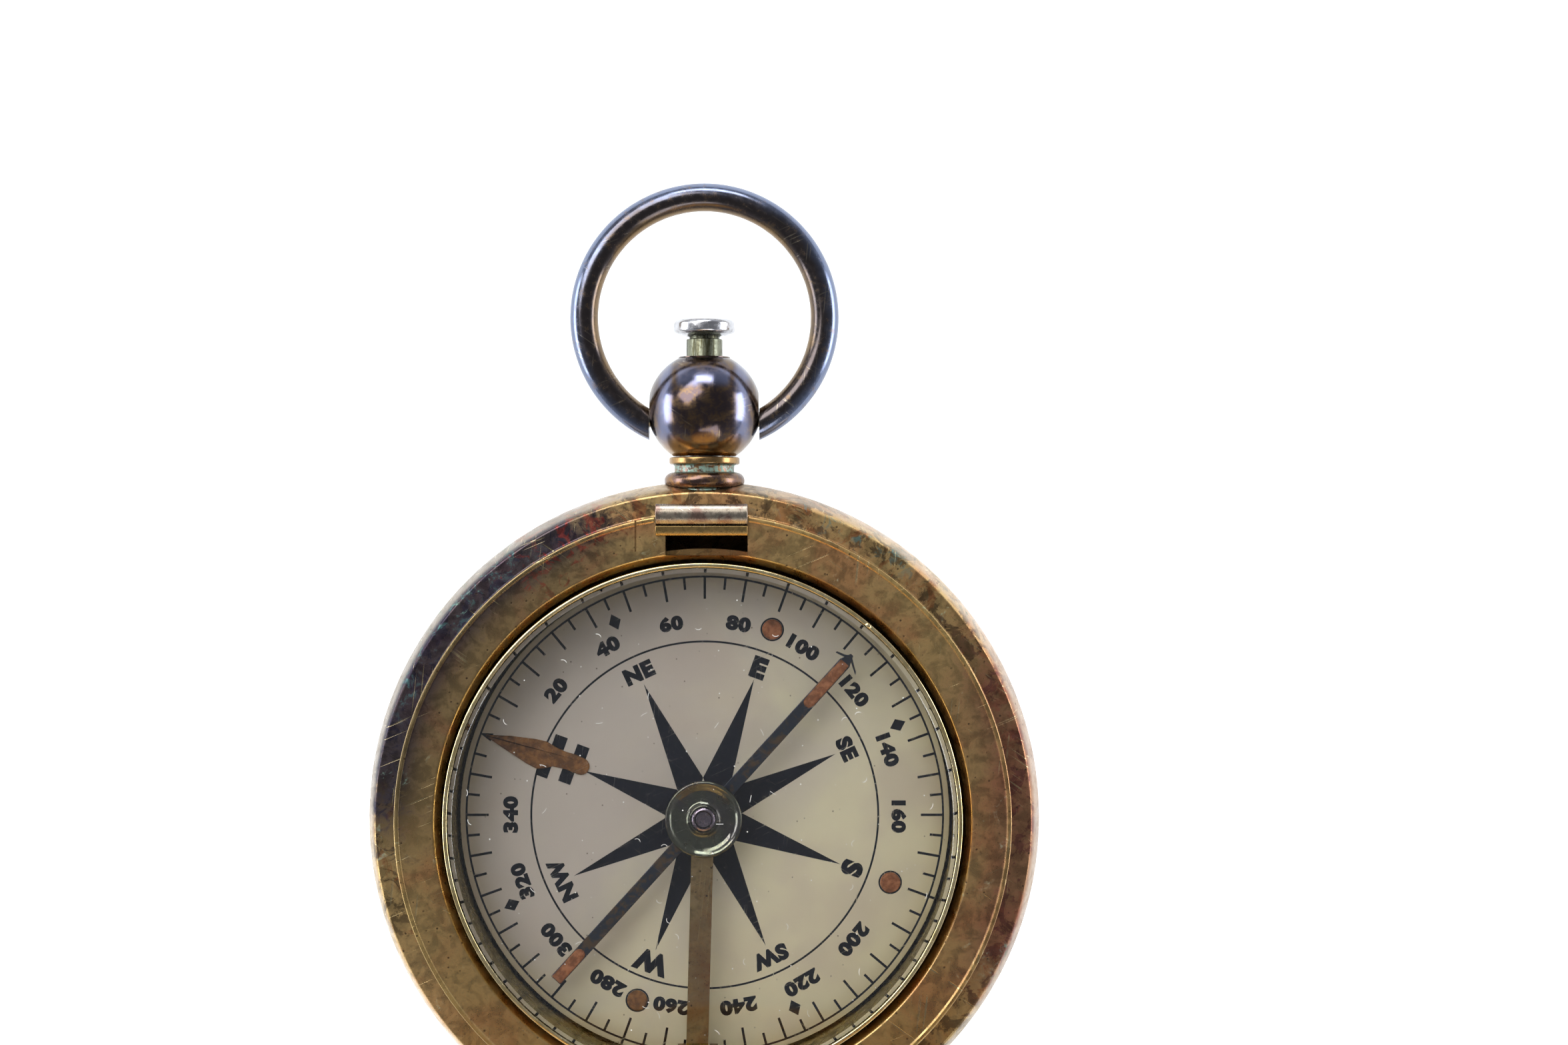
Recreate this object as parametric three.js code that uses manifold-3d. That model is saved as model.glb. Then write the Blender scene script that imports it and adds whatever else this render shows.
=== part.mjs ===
// Hunter-case pocket compass: a brass case lying on its back, lid hinged at 6 o'clock,
// pendant, push-button and bow at 12 o'clock. Millimetres, +Z up out of the dial, +Y towards the bow.
// The origin is the centre of the flat face the case rests on.
import * as THREE from 'three';
import { mergeVertices } from 'three/addons/utils/BufferGeometryUtils.js';
import Module from 'manifold-3d';

const wasm = await Module();
wasm.setup();

// ---- driving dimensions ----
const CASE_RADIUS = 25.85;         // the widest part of the band
const BAND_BOTTOM = 3.3;
const LEDGE_RADIUS = 25.0;         // outer edge of the ledge the lid seats on
const LEDGE_TOP = 9.2;
const STEP_RADIUS = 23.4;          // the step up to the raised ring
const RING_TOP = 10.4;
const RING_INNER = 20.4;
const WELL_RADIUS = 19.9;
const SHEET = 0.8;                 // thickness of the drawn back
const REST_RADIUS = 17.0;          // flat part of the back
const BEZEL_RADIUS = 19.65;
const BEZEL_TOP = 11.0;
const GLASS_RADIUS = 19.25;
const DIAL_RADIUS = 18.95;
const DIAL_TOP = 5.0;
const NEEDLE_RADIUS = 16.95;
const NEEDLE_BOTTOM = 6.6;
const NEEDLE_SHEET = 0.3;
const NEEDLE_BEARING = 42.3;       // degrees clockwise from +Y
const DIAL_BEARING = -70;          // bearing of the dial's north arrow
const PENDANT_HEIGHT = 6.25;       // height of the pendant's axis
const BALL_RADIUS = 4.39;
const BALL_Y = 31.49;
const BOW_PIVOT_Y = 30.67;
const BOW_CENTRE_Y = 38.54;
const BOW_MEAN_RADIUS = 9.24;
const BOW_WIRE = 2.3;
const BUTTON_TOP = 38.44;
const BUTTON_RADIUS = 2.43;
const HINGE_Y = -26.3;
const HINGE_Z = 9.2;
const KNUCKLE_RADIUS = 1.0;
const LID_OPEN = 90;               // degrees from closed
const LEVER_PIVOT_Y = -18.3;
const LEVER_PIVOT_Z = 6.3;
const LEVER_X = -0.5;              // the lever's heel stands a little left of the axis
const LEVER_WIDTH = 1.68;
const STUD_Y = -21.7;
const FIT = 0.05;                  // gap between pieces that touch or run on each other
const ROUND = 48;                  // facets of the large turned pieces
const SMALL_ROUND = 14;

// ---- colours ----
const finish = (color, roughness, metalness) =>
  new THREE.MeshStandardMaterial({ color, roughness, metalness });
const brass = finish(0x7a6440, 0.42, 1);
const darkBronze = finish(0x45413c, 0.35, 1);
const nickel = finish(0xb9b3a4, 0.3, 1);
const steel = finish(0x8d8f92, 0.35, 1);
const blued = finish(0x3a3c42, 0.35, 1);
const card = finish(0xb9b197, 0.85, 0);
const paint = finish(0x9b7150, 0.9, 0);
const glass = new THREE.MeshStandardMaterial({
  color: 0xf4f6f4, roughness: 0.05, transparent: true, opacity: 0.25,
});

// ---- geometry helpers ----
function toSolid(geometry) {
  const bare = geometry.clone();
  bare.deleteAttribute('normal');
  bare.deleteAttribute('uv');
  const merged = mergeVertices(bare, 1e-4);
  const index = merged.index.array;
  const kept = [];
  for (let i = 0; i < index.length; i += 3) {
    const [a, b, c] = [index[i], index[i + 1], index[i + 2]];
    if (a !== b && b !== c && c !== a) kept.push(a, b, c);
  }
  const vertProperties = new Float32Array(merged.attributes.position.array);
  return new wasm.Manifold(new wasm.Mesh({ numProp: 3, vertProperties, triVerts: new Uint32Array(kept) }));
}

function toGeometry(solid) {
  const mesh = solid.getMesh();
  const geometry = new THREE.BufferGeometry();
  geometry.setAttribute('position', new THREE.BufferAttribute(new Float32Array(mesh.vertProperties), 3));
  geometry.setIndex(new THREE.BufferAttribute(new Uint32Array(mesh.triVerts), 1));
  return geometry;
}

const union = (first, ...rest) => toGeometry(rest.reduce((sum, g) => sum.add(toSolid(g)), toSolid(first)));
const cut = (first, ...rest) => toGeometry(rest.reduce((sum, g) => sum.subtract(toSolid(g)), toSolid(first)));

const points = (pairs) => pairs.map(([r, h]) => new THREE.Vector2(r, h));

// A body turned about +Z from [radius, height] pairs, listed bottom to top on the outside.
function turned(profile, segments = ROUND) {
  return new THREE.LatheGeometry(points(profile), segments).rotateX(Math.PI / 2);
}

// A ring turned about +Z: the same, with its outline closed on itself.
const turnedRing = (profile, segments = ROUND) => turned([...profile, profile[0]], segments);

// A body turned about the pendant's axis from [radius, y] pairs, listed towards +Y on the outside.
function turnedOnPendant(profile, segments = SMALL_ROUND) {
  return new THREE.LatheGeometry(points(profile), segments).translate(0, 0, PENDANT_HEIGHT);
}

function box(x0, x1, y0, y1, z0, z1) {
  const shape = new THREE.BoxGeometry(x1 - x0, y1 - y0, z1 - z0);
  return shape.translate((x0 + x1) / 2, (y0 + y1) / 2, (z0 + z1) / 2);
}

// A disc or tube standing on z0.
function upright(radius, z0, z1, x = 0, y = 0, segments = SMALL_ROUND) {
  const shape = new THREE.CylinderGeometry(radius, radius, z1 - z0, segments);
  return shape.rotateX(Math.PI / 2).translate(x, y, (z0 + z1) / 2);
}

// A cylinder along X between x0 and x1.
function crosswise(radius, x0, x1, y, z, segments = SMALL_ROUND) {
  const shape = new THREE.CylinderGeometry(radius, radius, x1 - x0, segments);
  return shape.rotateZ(Math.PI / 2).translate((x0 + x1) / 2, y, z);
}

// An outline in the plan, raised from z0 to z1.
function plate(outline, z0, z1) {
  const shape = new THREE.ExtrudeGeometry(outline, { depth: z1 - z0, bevelEnabled: false, curveSegments: 8 });
  return shape.translate(0, 0, z0);
}

// An outline drawn as (y, z), carried along X from x0 to x1.
function alongX(outline, x0, x1) {
  const shape = new THREE.ExtrudeGeometry(outline, { depth: x1 - x0, bevelEnabled: false, curveSegments: 8 });
  const turn = new THREE.Matrix4().makeBasis(
    new THREE.Vector3(0, 1, 0), new THREE.Vector3(0, 0, 1), new THREE.Vector3(1, 0, 0));
  return shape.applyMatrix4(turn).translate(x0, 0, 0);
}

// A span along X on one side of the middle, its smaller end first.
const across = (side, near, far) => (side < 0 ? [-far, -near] : [near, far]);

const outlineOf = (pairs) => new THREE.Shape(points(pairs));
const degrees = (angle) => angle * Math.PI / 180;

function node(name, geometry, material, parent) {
  const mesh = new THREE.Mesh(geometry, material);
  mesh.name = name;
  parent.add(mesh);
}

const compass = new THREE.Group();

// ---- case ----
const BAND_FOOT_RADIUS = 25.1;
const BAND_PROFILE = [
  [BAND_FOOT_RADIUS, BAND_BOTTOM], [CASE_RADIUS - 0.25, 4.5], [CASE_RADIUS, 6.25], [CASE_RADIUS - 0.25, 8.0],
  [LEDGE_RADIUS, LEDGE_TOP],
];

// The band's outside, swollen by a gap, for cutting what seats against it.
function bandCutter(gap) {
  const side = BAND_PROFILE.map(([r, z]) => [r + gap, z]);
  const below = BAND_BOTTOM - 1;
  const above = RING_TOP + 0.6;
  return turned([
    [0, below], [BAND_FOOT_RADIUS + gap, below], ...side, [LEDGE_RADIUS + gap, above], [0, above],
  ]);
}

const CAVITY_INNER = 20.7;
const CAVITY_OUTER = 24.1;
const CAVITY_TOP = 8.6;
const SLOT = { left: -2.84, right: 3.4, inner: 20.2, outer: 23.38 };
const TUBE_OUTER = 2.0;
const TUBE_BORE = 1.45;
const STUD_RADIUS = 0.7;
const LEVER_SLOT = { half: 1.3, bottom: 4.6, top: 7.4 };   // the lever's way through the ring and the cup

function leverSlot(y0, y1) {
  return box(LEVER_X - LEVER_SLOT.half, LEVER_X + LEVER_SLOT.half, y0, y1, LEVER_SLOT.bottom, LEVER_SLOT.top);
}

function caseRing() {
  const body = turnedRing([
    ...BAND_PROFILE, [STEP_RADIUS, LEDGE_TOP], [STEP_RADIUS, RING_TOP - 0.15], [STEP_RADIUS - 0.15, RING_TOP],
    [RING_INNER, RING_TOP], [WELL_RADIUS, RING_TOP - 0.8], [WELL_RADIUS, BAND_BOTTOM],
    [CAVITY_INNER, BAND_BOTTOM], [CAVITY_INNER, CAVITY_TOP],
    [CAVITY_OUTER, CAVITY_TOP], [CAVITY_OUTER, BAND_BOTTOM],
  ]);
  const latchSlot = box(SLOT.left, SLOT.right, SLOT.inner, SLOT.outer, CAVITY_TOP - 1, RING_TOP + 1);
  const tubeHole = turnedOnPendant([[0, 22], [TUBE_OUTER + FIT, 22], [TUBE_OUTER + FIT, 27], [0, 27]]);
  const studBore = upright(STUD_RADIUS + FIT, CAVITY_TOP - 0.6, RING_TOP + 0.6, LEVER_X, STUD_Y);
  return cut(body, latchSlot, tubeHole, leverSlot(-21.2, -19), studBore);
}

function caseBack() {
  const rise = (from, to, drop) => {
    const list = [];
    for (let i = 0; i <= 4; i += 1) {
      const turn = (i / 4) * Math.PI / 2;
      const radius = REST_RADIUS + (from - REST_RADIUS) * Math.sin(turn);
      list.push([radius, drop + (to - drop) * (1 - Math.cos(turn))]);
    }
    return list;
  };
  return turned([
    [0, 0], ...rise(BAND_FOOT_RADIUS - 0.1, BAND_BOTTOM - FIT, 0), [24.0, BAND_BOTTOM - FIT],
    [24.0, 4.3], [23.5, 4.3], [23.4, 3.2], ...rise(23.2, 2.6, SHEET).reverse(), [0, SHEET],
  ]);
}

const CUP_FLOOR = 1.5;
const CUP_TOP = 9.6;
const CUP_RADIUS = 19.6;
const CUP_BORE = 19.15;

function chamberCup() {
  const body = turned([
    [0, CUP_FLOOR], [18.2, CUP_FLOOR], [19.0, 1.9], [CUP_RADIUS, 2.8], [CUP_RADIUS, CUP_TOP],
    [CUP_BORE, CUP_TOP], [CUP_BORE, 2.9], [18.4, 2.2], [0, 2.2],
  ]);
  return cut(body, leverSlot(-20.5, -18.5));
}

node('case_ring', caseRing(), brass, compass);
node('case_back', caseBack(), brass, compass);
node('chamber_cup', chamberCup(), brass, compass);
node('chamber_seat', turned([
  [0, SHEET + FIT], [9, SHEET + FIT], [9, CUP_FLOOR - FIT], [0, CUP_FLOOR - FIT],
], 32), brass, compass);
node('crystal_bezel', turnedRing([
  [BEZEL_RADIUS, CUP_TOP + FIT], [BEZEL_RADIUS, BEZEL_TOP - 0.1], [BEZEL_RADIUS - 0.1, BEZEL_TOP],
  [GLASS_RADIUS + FIT, BEZEL_TOP], [GLASS_RADIUS + FIT, CUP_TOP + FIT],
]), nickel, compass);
node('crystal', turned([
  [0, 10.05], [GLASS_RADIUS, 9.65], [GLASS_RADIUS, 10.75], [18.9, BEZEL_TOP], [10.0, 11.3], [0, 11.4],
]), glass, compass);

// ---- dial, with its painted north arrow and dots standing on the card ----
const dialGroup = new THREE.Group();
dialGroup.rotation.z = degrees(-DIAL_BEARING);
compass.add(dialGroup);

const POST_RADIUS = 0.6;
const DIAL_HOLE = 1.2;
const DIAL_BOTTOM = DIAL_TOP - 0.4;

node('dial_card', turnedRing([
  [DIAL_RADIUS, DIAL_BOTTOM], [DIAL_RADIUS, DIAL_TOP], [DIAL_HOLE, DIAL_TOP], [DIAL_HOLE, DIAL_BOTTOM],
]), card, dialGroup);
node('dial_collet', turnedRing([
  [3.2, 3.5], [3.2, DIAL_BOTTOM - FIT], [POST_RADIUS + 0.1, DIAL_BOTTOM - FIT], [POST_RADIUS + 0.1, 3.5],
], 32), brass, dialGroup);

const PAINT_GAP = 0.02;
const PAINT_THICKNESS = 0.15;

function arrowOutline() {
  const tail = 10.3;
  const tailHalf = 0.72;
  const shoulder = 13.4;
  const shape = new THREE.Shape();
  shape.moveTo(0, DIAL_RADIUS - 0.5);
  shape.lineTo(-1.12, shoulder);
  shape.lineTo(-tailHalf, shoulder - 0.5);
  shape.lineTo(-tailHalf, tail);
  shape.absarc(0, tail, tailHalf, Math.PI, 2 * Math.PI);
  shape.lineTo(tailHalf, shoulder - 0.5);
  shape.lineTo(1.12, shoulder);
  return shape;
}

const paintOnDial = (outline) => plate(outline, DIAL_TOP + PAINT_GAP, DIAL_TOP + PAINT_GAP + PAINT_THICKNESS);
node('dial_arrow', paintOnDial(arrowOutline()), paint, dialGroup);

const DOT_RADIUS = 0.8;
const DOT_PLACE = 15.3;
const dots = { dial_dot_east: 90, dial_dot_south: 180, dial_dot_west: 270 };
for (const [name, bearing] of Object.entries(dots)) {
  const x = DOT_PLACE * Math.sin(degrees(bearing));
  const y = DOT_PLACE * Math.cos(degrees(bearing));
  const shape = upright(DOT_RADIUS, DIAL_TOP + PAINT_GAP, DIAL_TOP + PAINT_GAP + PAINT_THICKNESS, x, y);
  node(name, shape, paint, dialGroup);
}

node('dial_washer', turnedRing([
  [5.0, 2.25], [5.0, 3.45], [POST_RADIUS + 0.1, 3.45], [POST_RADIUS + 0.1, 2.25],
], 32), brass, compass);
node('pivot_post', turned([
  [0, 2.25], [POST_RADIUS, 2.25], [POST_RADIUS, 6.0], [0.35, 6.4], [0.3, 7.0], [0, 7.75],
], SMALL_ROUND), steel, compass);

// ---- needle: a blued bar hanging from a jewelled cap, which rests on the post's point ----
const needleGroup = new THREE.Group();
needleGroup.rotation.z = degrees(-NEEDLE_BEARING);
compass.add(needleGroup);

const NEEDLE_TOP = NEEDLE_BOTTOM + NEEDLE_SHEET;
const NEEDLE_HALF_WIDTH = 0.5;
const NECK_RADIUS = 1.0;
const DISH_BOTTOM = 7.85;
const DISH_TOP = 8.25;
const DISH_RADIUS = 2.95;
const JEWEL_RADIUS = 0.62;

node('needle_jewel', cut(
  upright(JEWEL_RADIUS, 7.0, 8.2),
  turned([[0, 6.9], [0.5, 6.9], [0.45, 7.3], [0, 7.85]], SMALL_ROUND),
), steel, compass);

function needleBar() {
  const eye = 1.9;
  const outline = new THREE.Shape();
  const joinY = Math.sqrt(eye ** 2 - NEEDLE_HALF_WIDTH ** 2);
  const halfAngle = Math.asin(NEEDLE_HALF_WIDTH / eye);
  outline.moveTo(NEEDLE_HALF_WIDTH, joinY);
  outline.lineTo(NEEDLE_HALF_WIDTH, NEEDLE_RADIUS - 0.9);
  outline.lineTo(0, NEEDLE_RADIUS);
  outline.lineTo(-NEEDLE_HALF_WIDTH, NEEDLE_RADIUS - 0.9);
  outline.lineTo(-NEEDLE_HALF_WIDTH, joinY);
  outline.absarc(0, 0, eye, Math.PI / 2 + halfAngle, 1.5 * Math.PI - halfAngle);
  outline.lineTo(-NEEDLE_HALF_WIDTH, -NEEDLE_RADIUS);
  outline.lineTo(NEEDLE_HALF_WIDTH, -NEEDLE_RADIUS);
  outline.absarc(0, 0, eye, 1.5 * Math.PI + halfAngle, 2.5 * Math.PI - halfAngle);
  const hole = new THREE.Path();
  hole.absarc(0, 0, JEWEL_RADIUS + FIT, 0, 2 * Math.PI);
  outline.holes.push(hole);
  return plate(outline, NEEDLE_BOTTOM, NEEDLE_TOP);
}

node('needle_bar', needleBar(), blued, needleGroup);
node('needle_neck', turnedRing([
  [NECK_RADIUS, NEEDLE_TOP + 0.03], [NECK_RADIUS, DISH_BOTTOM - 0.03],
  [JEWEL_RADIUS + FIT, DISH_BOTTOM - 0.03], [JEWEL_RADIUS + FIT, NEEDLE_TOP + 0.03],
], SMALL_ROUND), brass, needleGroup);
node('needle_cap', turnedRing([
  [2.2, DISH_BOTTOM], [DISH_RADIUS, DISH_BOTTOM + 0.1], [DISH_RADIUS, DISH_TOP], [2.7, DISH_TOP],
  [1.1, DISH_BOTTOM + 0.15], [0.95, DISH_BOTTOM + 0.15], [0.95, DISH_BOTTOM],
], 24), brass, needleGroup);
node('needle_boss', turnedRing([
  [0.9, DISH_BOTTOM], [0.9, DISH_TOP], [0.75, DISH_TOP + 0.1],
  [JEWEL_RADIUS + FIT, DISH_TOP + 0.1], [JEWEL_RADIUS + FIT, DISH_BOTTOM],
], SMALL_ROUND), steel, needleGroup);

const NEEDLE_PAINT = 0.12;
function needlePaint(inner, outer, rounded) {
  const half = NEEDLE_HALF_WIDTH - 0.06;
  const outline = new THREE.Shape();
  outline.moveTo(half, inner);
  outline.lineTo(half, outer);
  outline.lineTo(-half, outer);
  outline.lineTo(-half, inner);
  if (rounded) outline.absarc(0, inner, half, Math.PI, 2 * Math.PI);
  return plate(outline, NEEDLE_TOP + PAINT_GAP, NEEDLE_TOP + PAINT_GAP + NEEDLE_PAINT);
}
node('needle_paint_north', needlePaint(11.9, 15.9, true), paint, needleGroup);
const southPaint = needlePaint(13.9, NEEDLE_RADIUS - 0.05, false).rotateZ(Math.PI);
node('needle_paint_south', southPaint, paint, needleGroup);

// ---- lifter: a lever over the dial whose ring lifts the needle by its cap ----
const LEVER_BOTTOM = 7.1;
const LEVER_SHEET = 0.3;
const LEVER_BEND_Y = -17.2;
const LIFTER_RING = 2.75;
const LIFTER_EYE = 1.6;
const LEVER_PIN = 0.3;

function lifterArm() {
  const half = LEVER_WIDTH / 2;
  const ring = new THREE.Shape();
  ring.absarc(0, 0, LIFTER_RING, 0, 2 * Math.PI);
  const eye = new THREE.Path();
  eye.absarc(0, 0, LIFTER_EYE, 0, 2 * Math.PI);
  ring.holes.push(eye);
  const innerX = -0.1;
  const blade = outlineOf([
    [LEVER_X - half, LEVER_BEND_Y], [LEVER_X + half, LEVER_BEND_Y],
    [innerX + half, -2.2], [innerX - half, -2.2],
  ]);
  const heelTop = LEVER_BOTTOM + LEVER_SHEET;
  const heel = outlineOf([
    [LEVER_BEND_Y + 0.1, LEVER_BOTTOM], [LEVER_BEND_Y + 0.1, heelTop], [LEVER_BEND_Y, heelTop],
    [LEVER_PIVOT_Y + 0.1, LEVER_PIVOT_Z + 0.5], [-22.2, LEVER_PIVOT_Z + 0.25],
    [-22.2, LEVER_PIVOT_Z - 0.1], [LEVER_PIVOT_Y + 0.2, LEVER_PIVOT_Z - 0.1],
  ]);
  const top = plate(ring, LEVER_BOTTOM, heelTop);
  const eyeOfPin = crosswise(0.62, LEVER_X - half, LEVER_X + half, LEVER_PIVOT_Y, LEVER_PIVOT_Z);
  const pinHole = crosswise(LEVER_PIN + FIT, LEVER_X - 2, LEVER_X + 2, LEVER_PIVOT_Y, LEVER_PIVOT_Z);
  const bladePlate = plate(blade, LEVER_BOTTOM, heelTop);
  const heelPlate = alongX(heel, LEVER_X - half, LEVER_X + half);
  return cut(union(top, bladePlate, heelPlate, eyeOfPin), pinHole);
}
node('lifter_arm', lifterArm(), brass, compass);

const LUG_GAP = LEVER_WIDTH / 2 + 0.1;
for (const [name, side] of [['lifter_lug_left', -1], ['lifter_lug_right', 1]]) {
  const [left, right] = across(side, LUG_GAP, LUG_GAP + 0.6);
  const lug = box(LEVER_X + left, LEVER_X + right, -19.4, -17.6, 5.65, 7.0);
  const hole = crosswise(LEVER_PIN + FIT, LEVER_X - 2, LEVER_X + 2, LEVER_PIVOT_Y, LEVER_PIVOT_Z);
  const wall = turnedRing([[21, 5], [21, 8], [CUP_BORE - FIT, 8], [CUP_BORE - FIT, 5]]);
  node(name, cut(lug, hole, wall), brass, compass);
}
const lifterPin = crosswise(LEVER_PIN, LEVER_X - 1.5, LEVER_X + 1.5, LEVER_PIVOT_Y, LEVER_PIVOT_Z);
node('lifter_pin', lifterPin, steel, compass);

const STUD_TOP = RING_TOP + 0.55;
node('lifter_stud', union(
  upright(STUD_RADIUS, 6.95, STUD_TOP, LEVER_X, STUD_Y),
  upright(1.1, 6.7, 7.2, LEVER_X, STUD_Y),
), steel, compass);

// ---- pendant: collar, ball, tube, push-button and latch ----
const STEM_RADIUS = 1.4;
const TUBE_FOOT = 23.8;
const COLLAR_RADIUS = 3.1;
const COLLAR_TOP = 26.53;
const GROOVE_RADIUS = 2.3;
const LIP_RADIUS = 2.75;
const LIP_TOP = 27.76;
const BALL_FOOT_Y = LIP_TOP + FIT;
const BALL_FLAT_Y = 35.47;         // where the ball is cut off square, round the stem
const BALL_SIDE = 4.2;             // the flats that the bow's ends run against
const PIVOT_PIN = 0.6;
const PIVOT_INNER = 2.8;
const PIVOT_OUTER = 4.95;

node('pendant_collar', cut(turnedOnPendant([
  [TUBE_OUTER + FIT, 24.5], [COLLAR_RADIUS - 0.2, 24.5], [COLLAR_RADIUS - 0.2, COLLAR_TOP - 1.15],
  [COLLAR_RADIUS, COLLAR_TOP - 0.95], [COLLAR_RADIUS, COLLAR_TOP - 0.2], [COLLAR_RADIUS - 0.2, COLLAR_TOP],
  [GROOVE_RADIUS, COLLAR_TOP], [GROOVE_RADIUS, LIP_TOP - 0.65], [LIP_RADIUS, LIP_TOP - 0.55],
  [LIP_RADIUS, LIP_TOP], [TUBE_OUTER + FIT, LIP_TOP], [TUBE_OUTER + FIT, 24.5],
]), bandCutter(FIT)), brass, compass);

function ball() {
  const steps = 8;
  const profile = [[TUBE_OUTER + FIT, BALL_FOOT_Y]];
  const start = Math.asin((BALL_FOOT_Y - BALL_Y) / BALL_RADIUS);
  const end = Math.asin((BALL_FLAT_Y - BALL_Y) / BALL_RADIUS);
  for (let i = 0; i <= steps; i += 1) {
    const angle = start + (end - start) * (i / steps);
    profile.push([BALL_RADIUS * Math.cos(angle), BALL_Y + BALL_RADIUS * Math.sin(angle)]);
  }
  profile.push([TUBE_OUTER + FIT, BALL_FLAT_Y], [TUBE_OUTER + FIT, BALL_FOOT_Y]);
  const sides = [-1, 1].flatMap((side) => [
    box(...across(side, BALL_SIDE, 6), 27, 35, PENDANT_HEIGHT - 4, PENDANT_HEIGHT + 4),
    crosswise(PIVOT_PIN + FIT, ...across(side, PIVOT_INNER - 0.1, 6), BOW_PIVOT_Y, PENDANT_HEIGHT),
  ]);
  return cut(turnedOnPendant(profile, 26), ...sides);
}
node('pendant_ball', ball(), darkBronze, compass);
node('pendant_tube', turnedOnPendant([
  [TUBE_BORE, TUBE_FOOT], [TUBE_OUTER, TUBE_FOOT], [TUBE_OUTER, BALL_FLAT_Y - 0.2],
  [TUBE_BORE, BALL_FLAT_Y - 0.2], [TUBE_BORE, TUBE_FOOT],
]), steel, compass);

node('button_head', turnedOnPendant([
  [STEM_RADIUS - 0.2, BUTTON_TOP - 1.5], [BUTTON_RADIUS - 0.28, BUTTON_TOP - 1.2],
  [BUTTON_RADIUS, BUTTON_TOP - 1.05], [BUTTON_RADIUS, BUTTON_TOP - 0.35],
  [BUTTON_RADIUS - 0.18, BUTTON_TOP - 0.12], [1.2, BUTTON_TOP - 0.02], [0, BUTTON_TOP],
  [0, BUTTON_TOP - 0.7], [STEM_RADIUS - 0.2, BUTTON_TOP - 0.7], [STEM_RADIUS - 0.2, BUTTON_TOP - 1.5],
]), nickel, compass);
node('button_stem', turnedOnPendant([
  [0, 23.55], [STEM_RADIUS - 0.4, 23.55], [STEM_RADIUS, 23.9], [STEM_RADIUS, BUTTON_TOP - 1.6],
  [STEM_RADIUS - 0.25, BUTTON_TOP - 1.55], [STEM_RADIUS - 0.25, BUTTON_TOP - 0.75], [0, BUTTON_TOP - 0.75],
]), steel, compass);

// The latch: a plate in the slot behind the band, with a rolled head that hooks over the lid's lip.
const HEAD_BOTTOM = RING_TOP + FIT;
const HEAD_LEFT = -3.56;           // the head reaches a little past the slot on this side
function latchHead() {
  const inner = 21.7;
  const outer = 24.1;
  const outline = new THREE.Shape();
  outline.moveTo(outer, HEAD_BOTTOM);
  outline.lineTo(outer, HEAD_BOTTOM + 0.3);
  outline.quadraticCurveTo((inner + outer) / 2, HEAD_BOTTOM + 1.15, inner, HEAD_BOTTOM + 0.3);
  outline.lineTo(inner, HEAD_BOTTOM);
  return alongX(outline, HEAD_LEFT, SLOT.right);
}
const PLATE_LEFT = SLOT.left + 0.15;
const PLATE_RIGHT = SLOT.right - 0.15;
node('latch_head', latchHead(), nickel, compass);
node('latch_plate', box(PLATE_LEFT, PLATE_RIGHT, 22.75, 23.3, 4.4, HEAD_BOTTOM - 0.02), steel, compass);
node('latch_boss', turnedOnPendant([[0, 23.34], [0.9, 23.34], [0.9, 23.52], [0, 23.52]]), steel, compass);

// ---- bow ----
const bow = new THREE.TorusGeometry(BOW_MEAN_RADIUS, BOW_WIRE / 2, 10, 36);
bow.translate(0, BOW_CENTRE_Y, PENDANT_HEIGHT);
const BOW_END = BALL_SIDE + FIT;
const bowCuts = [box(-BOW_END, BOW_END, 26, 34, PENDANT_HEIGHT - 3, PENDANT_HEIGHT + 3)];
for (const [name, side] of [['bow_pivot_left', -1], ['bow_pivot_right', 1]]) {
  const hole = across(side, PIVOT_INNER + 0.2, PIVOT_OUTER + FIT);
  bowCuts.push(crosswise(PIVOT_PIN + 0.03, ...hole, BOW_PIVOT_Y, PENDANT_HEIGHT));
  const pin = across(side, PIVOT_INNER, PIVOT_OUTER);
  node(name, crosswise(PIVOT_PIN, ...pin, BOW_PIVOT_Y, PENDANT_HEIGHT), steel, compass);
}
node('bow_ring', cut(bow, ...bowCuts), darkBronze, compass);

// ---- lid, drawn closed and then swung open about its hinge ----
const HINGE_PIN = 0.4;
const LID_RIM_INNER = 23.6;
const LID_RIM_BOTTOM = LEDGE_TOP + FIT;
const LID_RIM_TOP = 12.2;
const LID_BARREL = 3.4;
const BARREL_END = 7.0;

const lidGroup = new THREE.Group();
lidGroup.position.set(0, HINGE_Y, HINGE_Z);
lidGroup.rotation.x = degrees(LID_OPEN);
compass.add(lidGroup);

// A piece of the lid, drawn where it lies when the lid is shut.
function lidNode(name, geometry, material) {
  node(name, geometry.translate(0, -HINGE_Y, -HINGE_Z), material, lidGroup);
}

function lidRim() {
  const rim = turnedRing([
    [LID_RIM_INNER + 0.15, LID_RIM_BOTTOM], [LEDGE_RADIUS - 0.1, LID_RIM_BOTTOM],
    [LEDGE_RADIUS, LID_RIM_BOTTOM + 0.1], [LEDGE_RADIUS, LID_RIM_TOP],
    [LID_RIM_INNER, LID_RIM_TOP], [LID_RIM_INNER, LID_RIM_BOTTOM + 0.15],
  ]);
  return cut(rim, box(-3.95, 3.8, 22.5, 24.45, HEAD_BOTTOM - 0.1, LID_RIM_TOP - 0.3));
}

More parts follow.
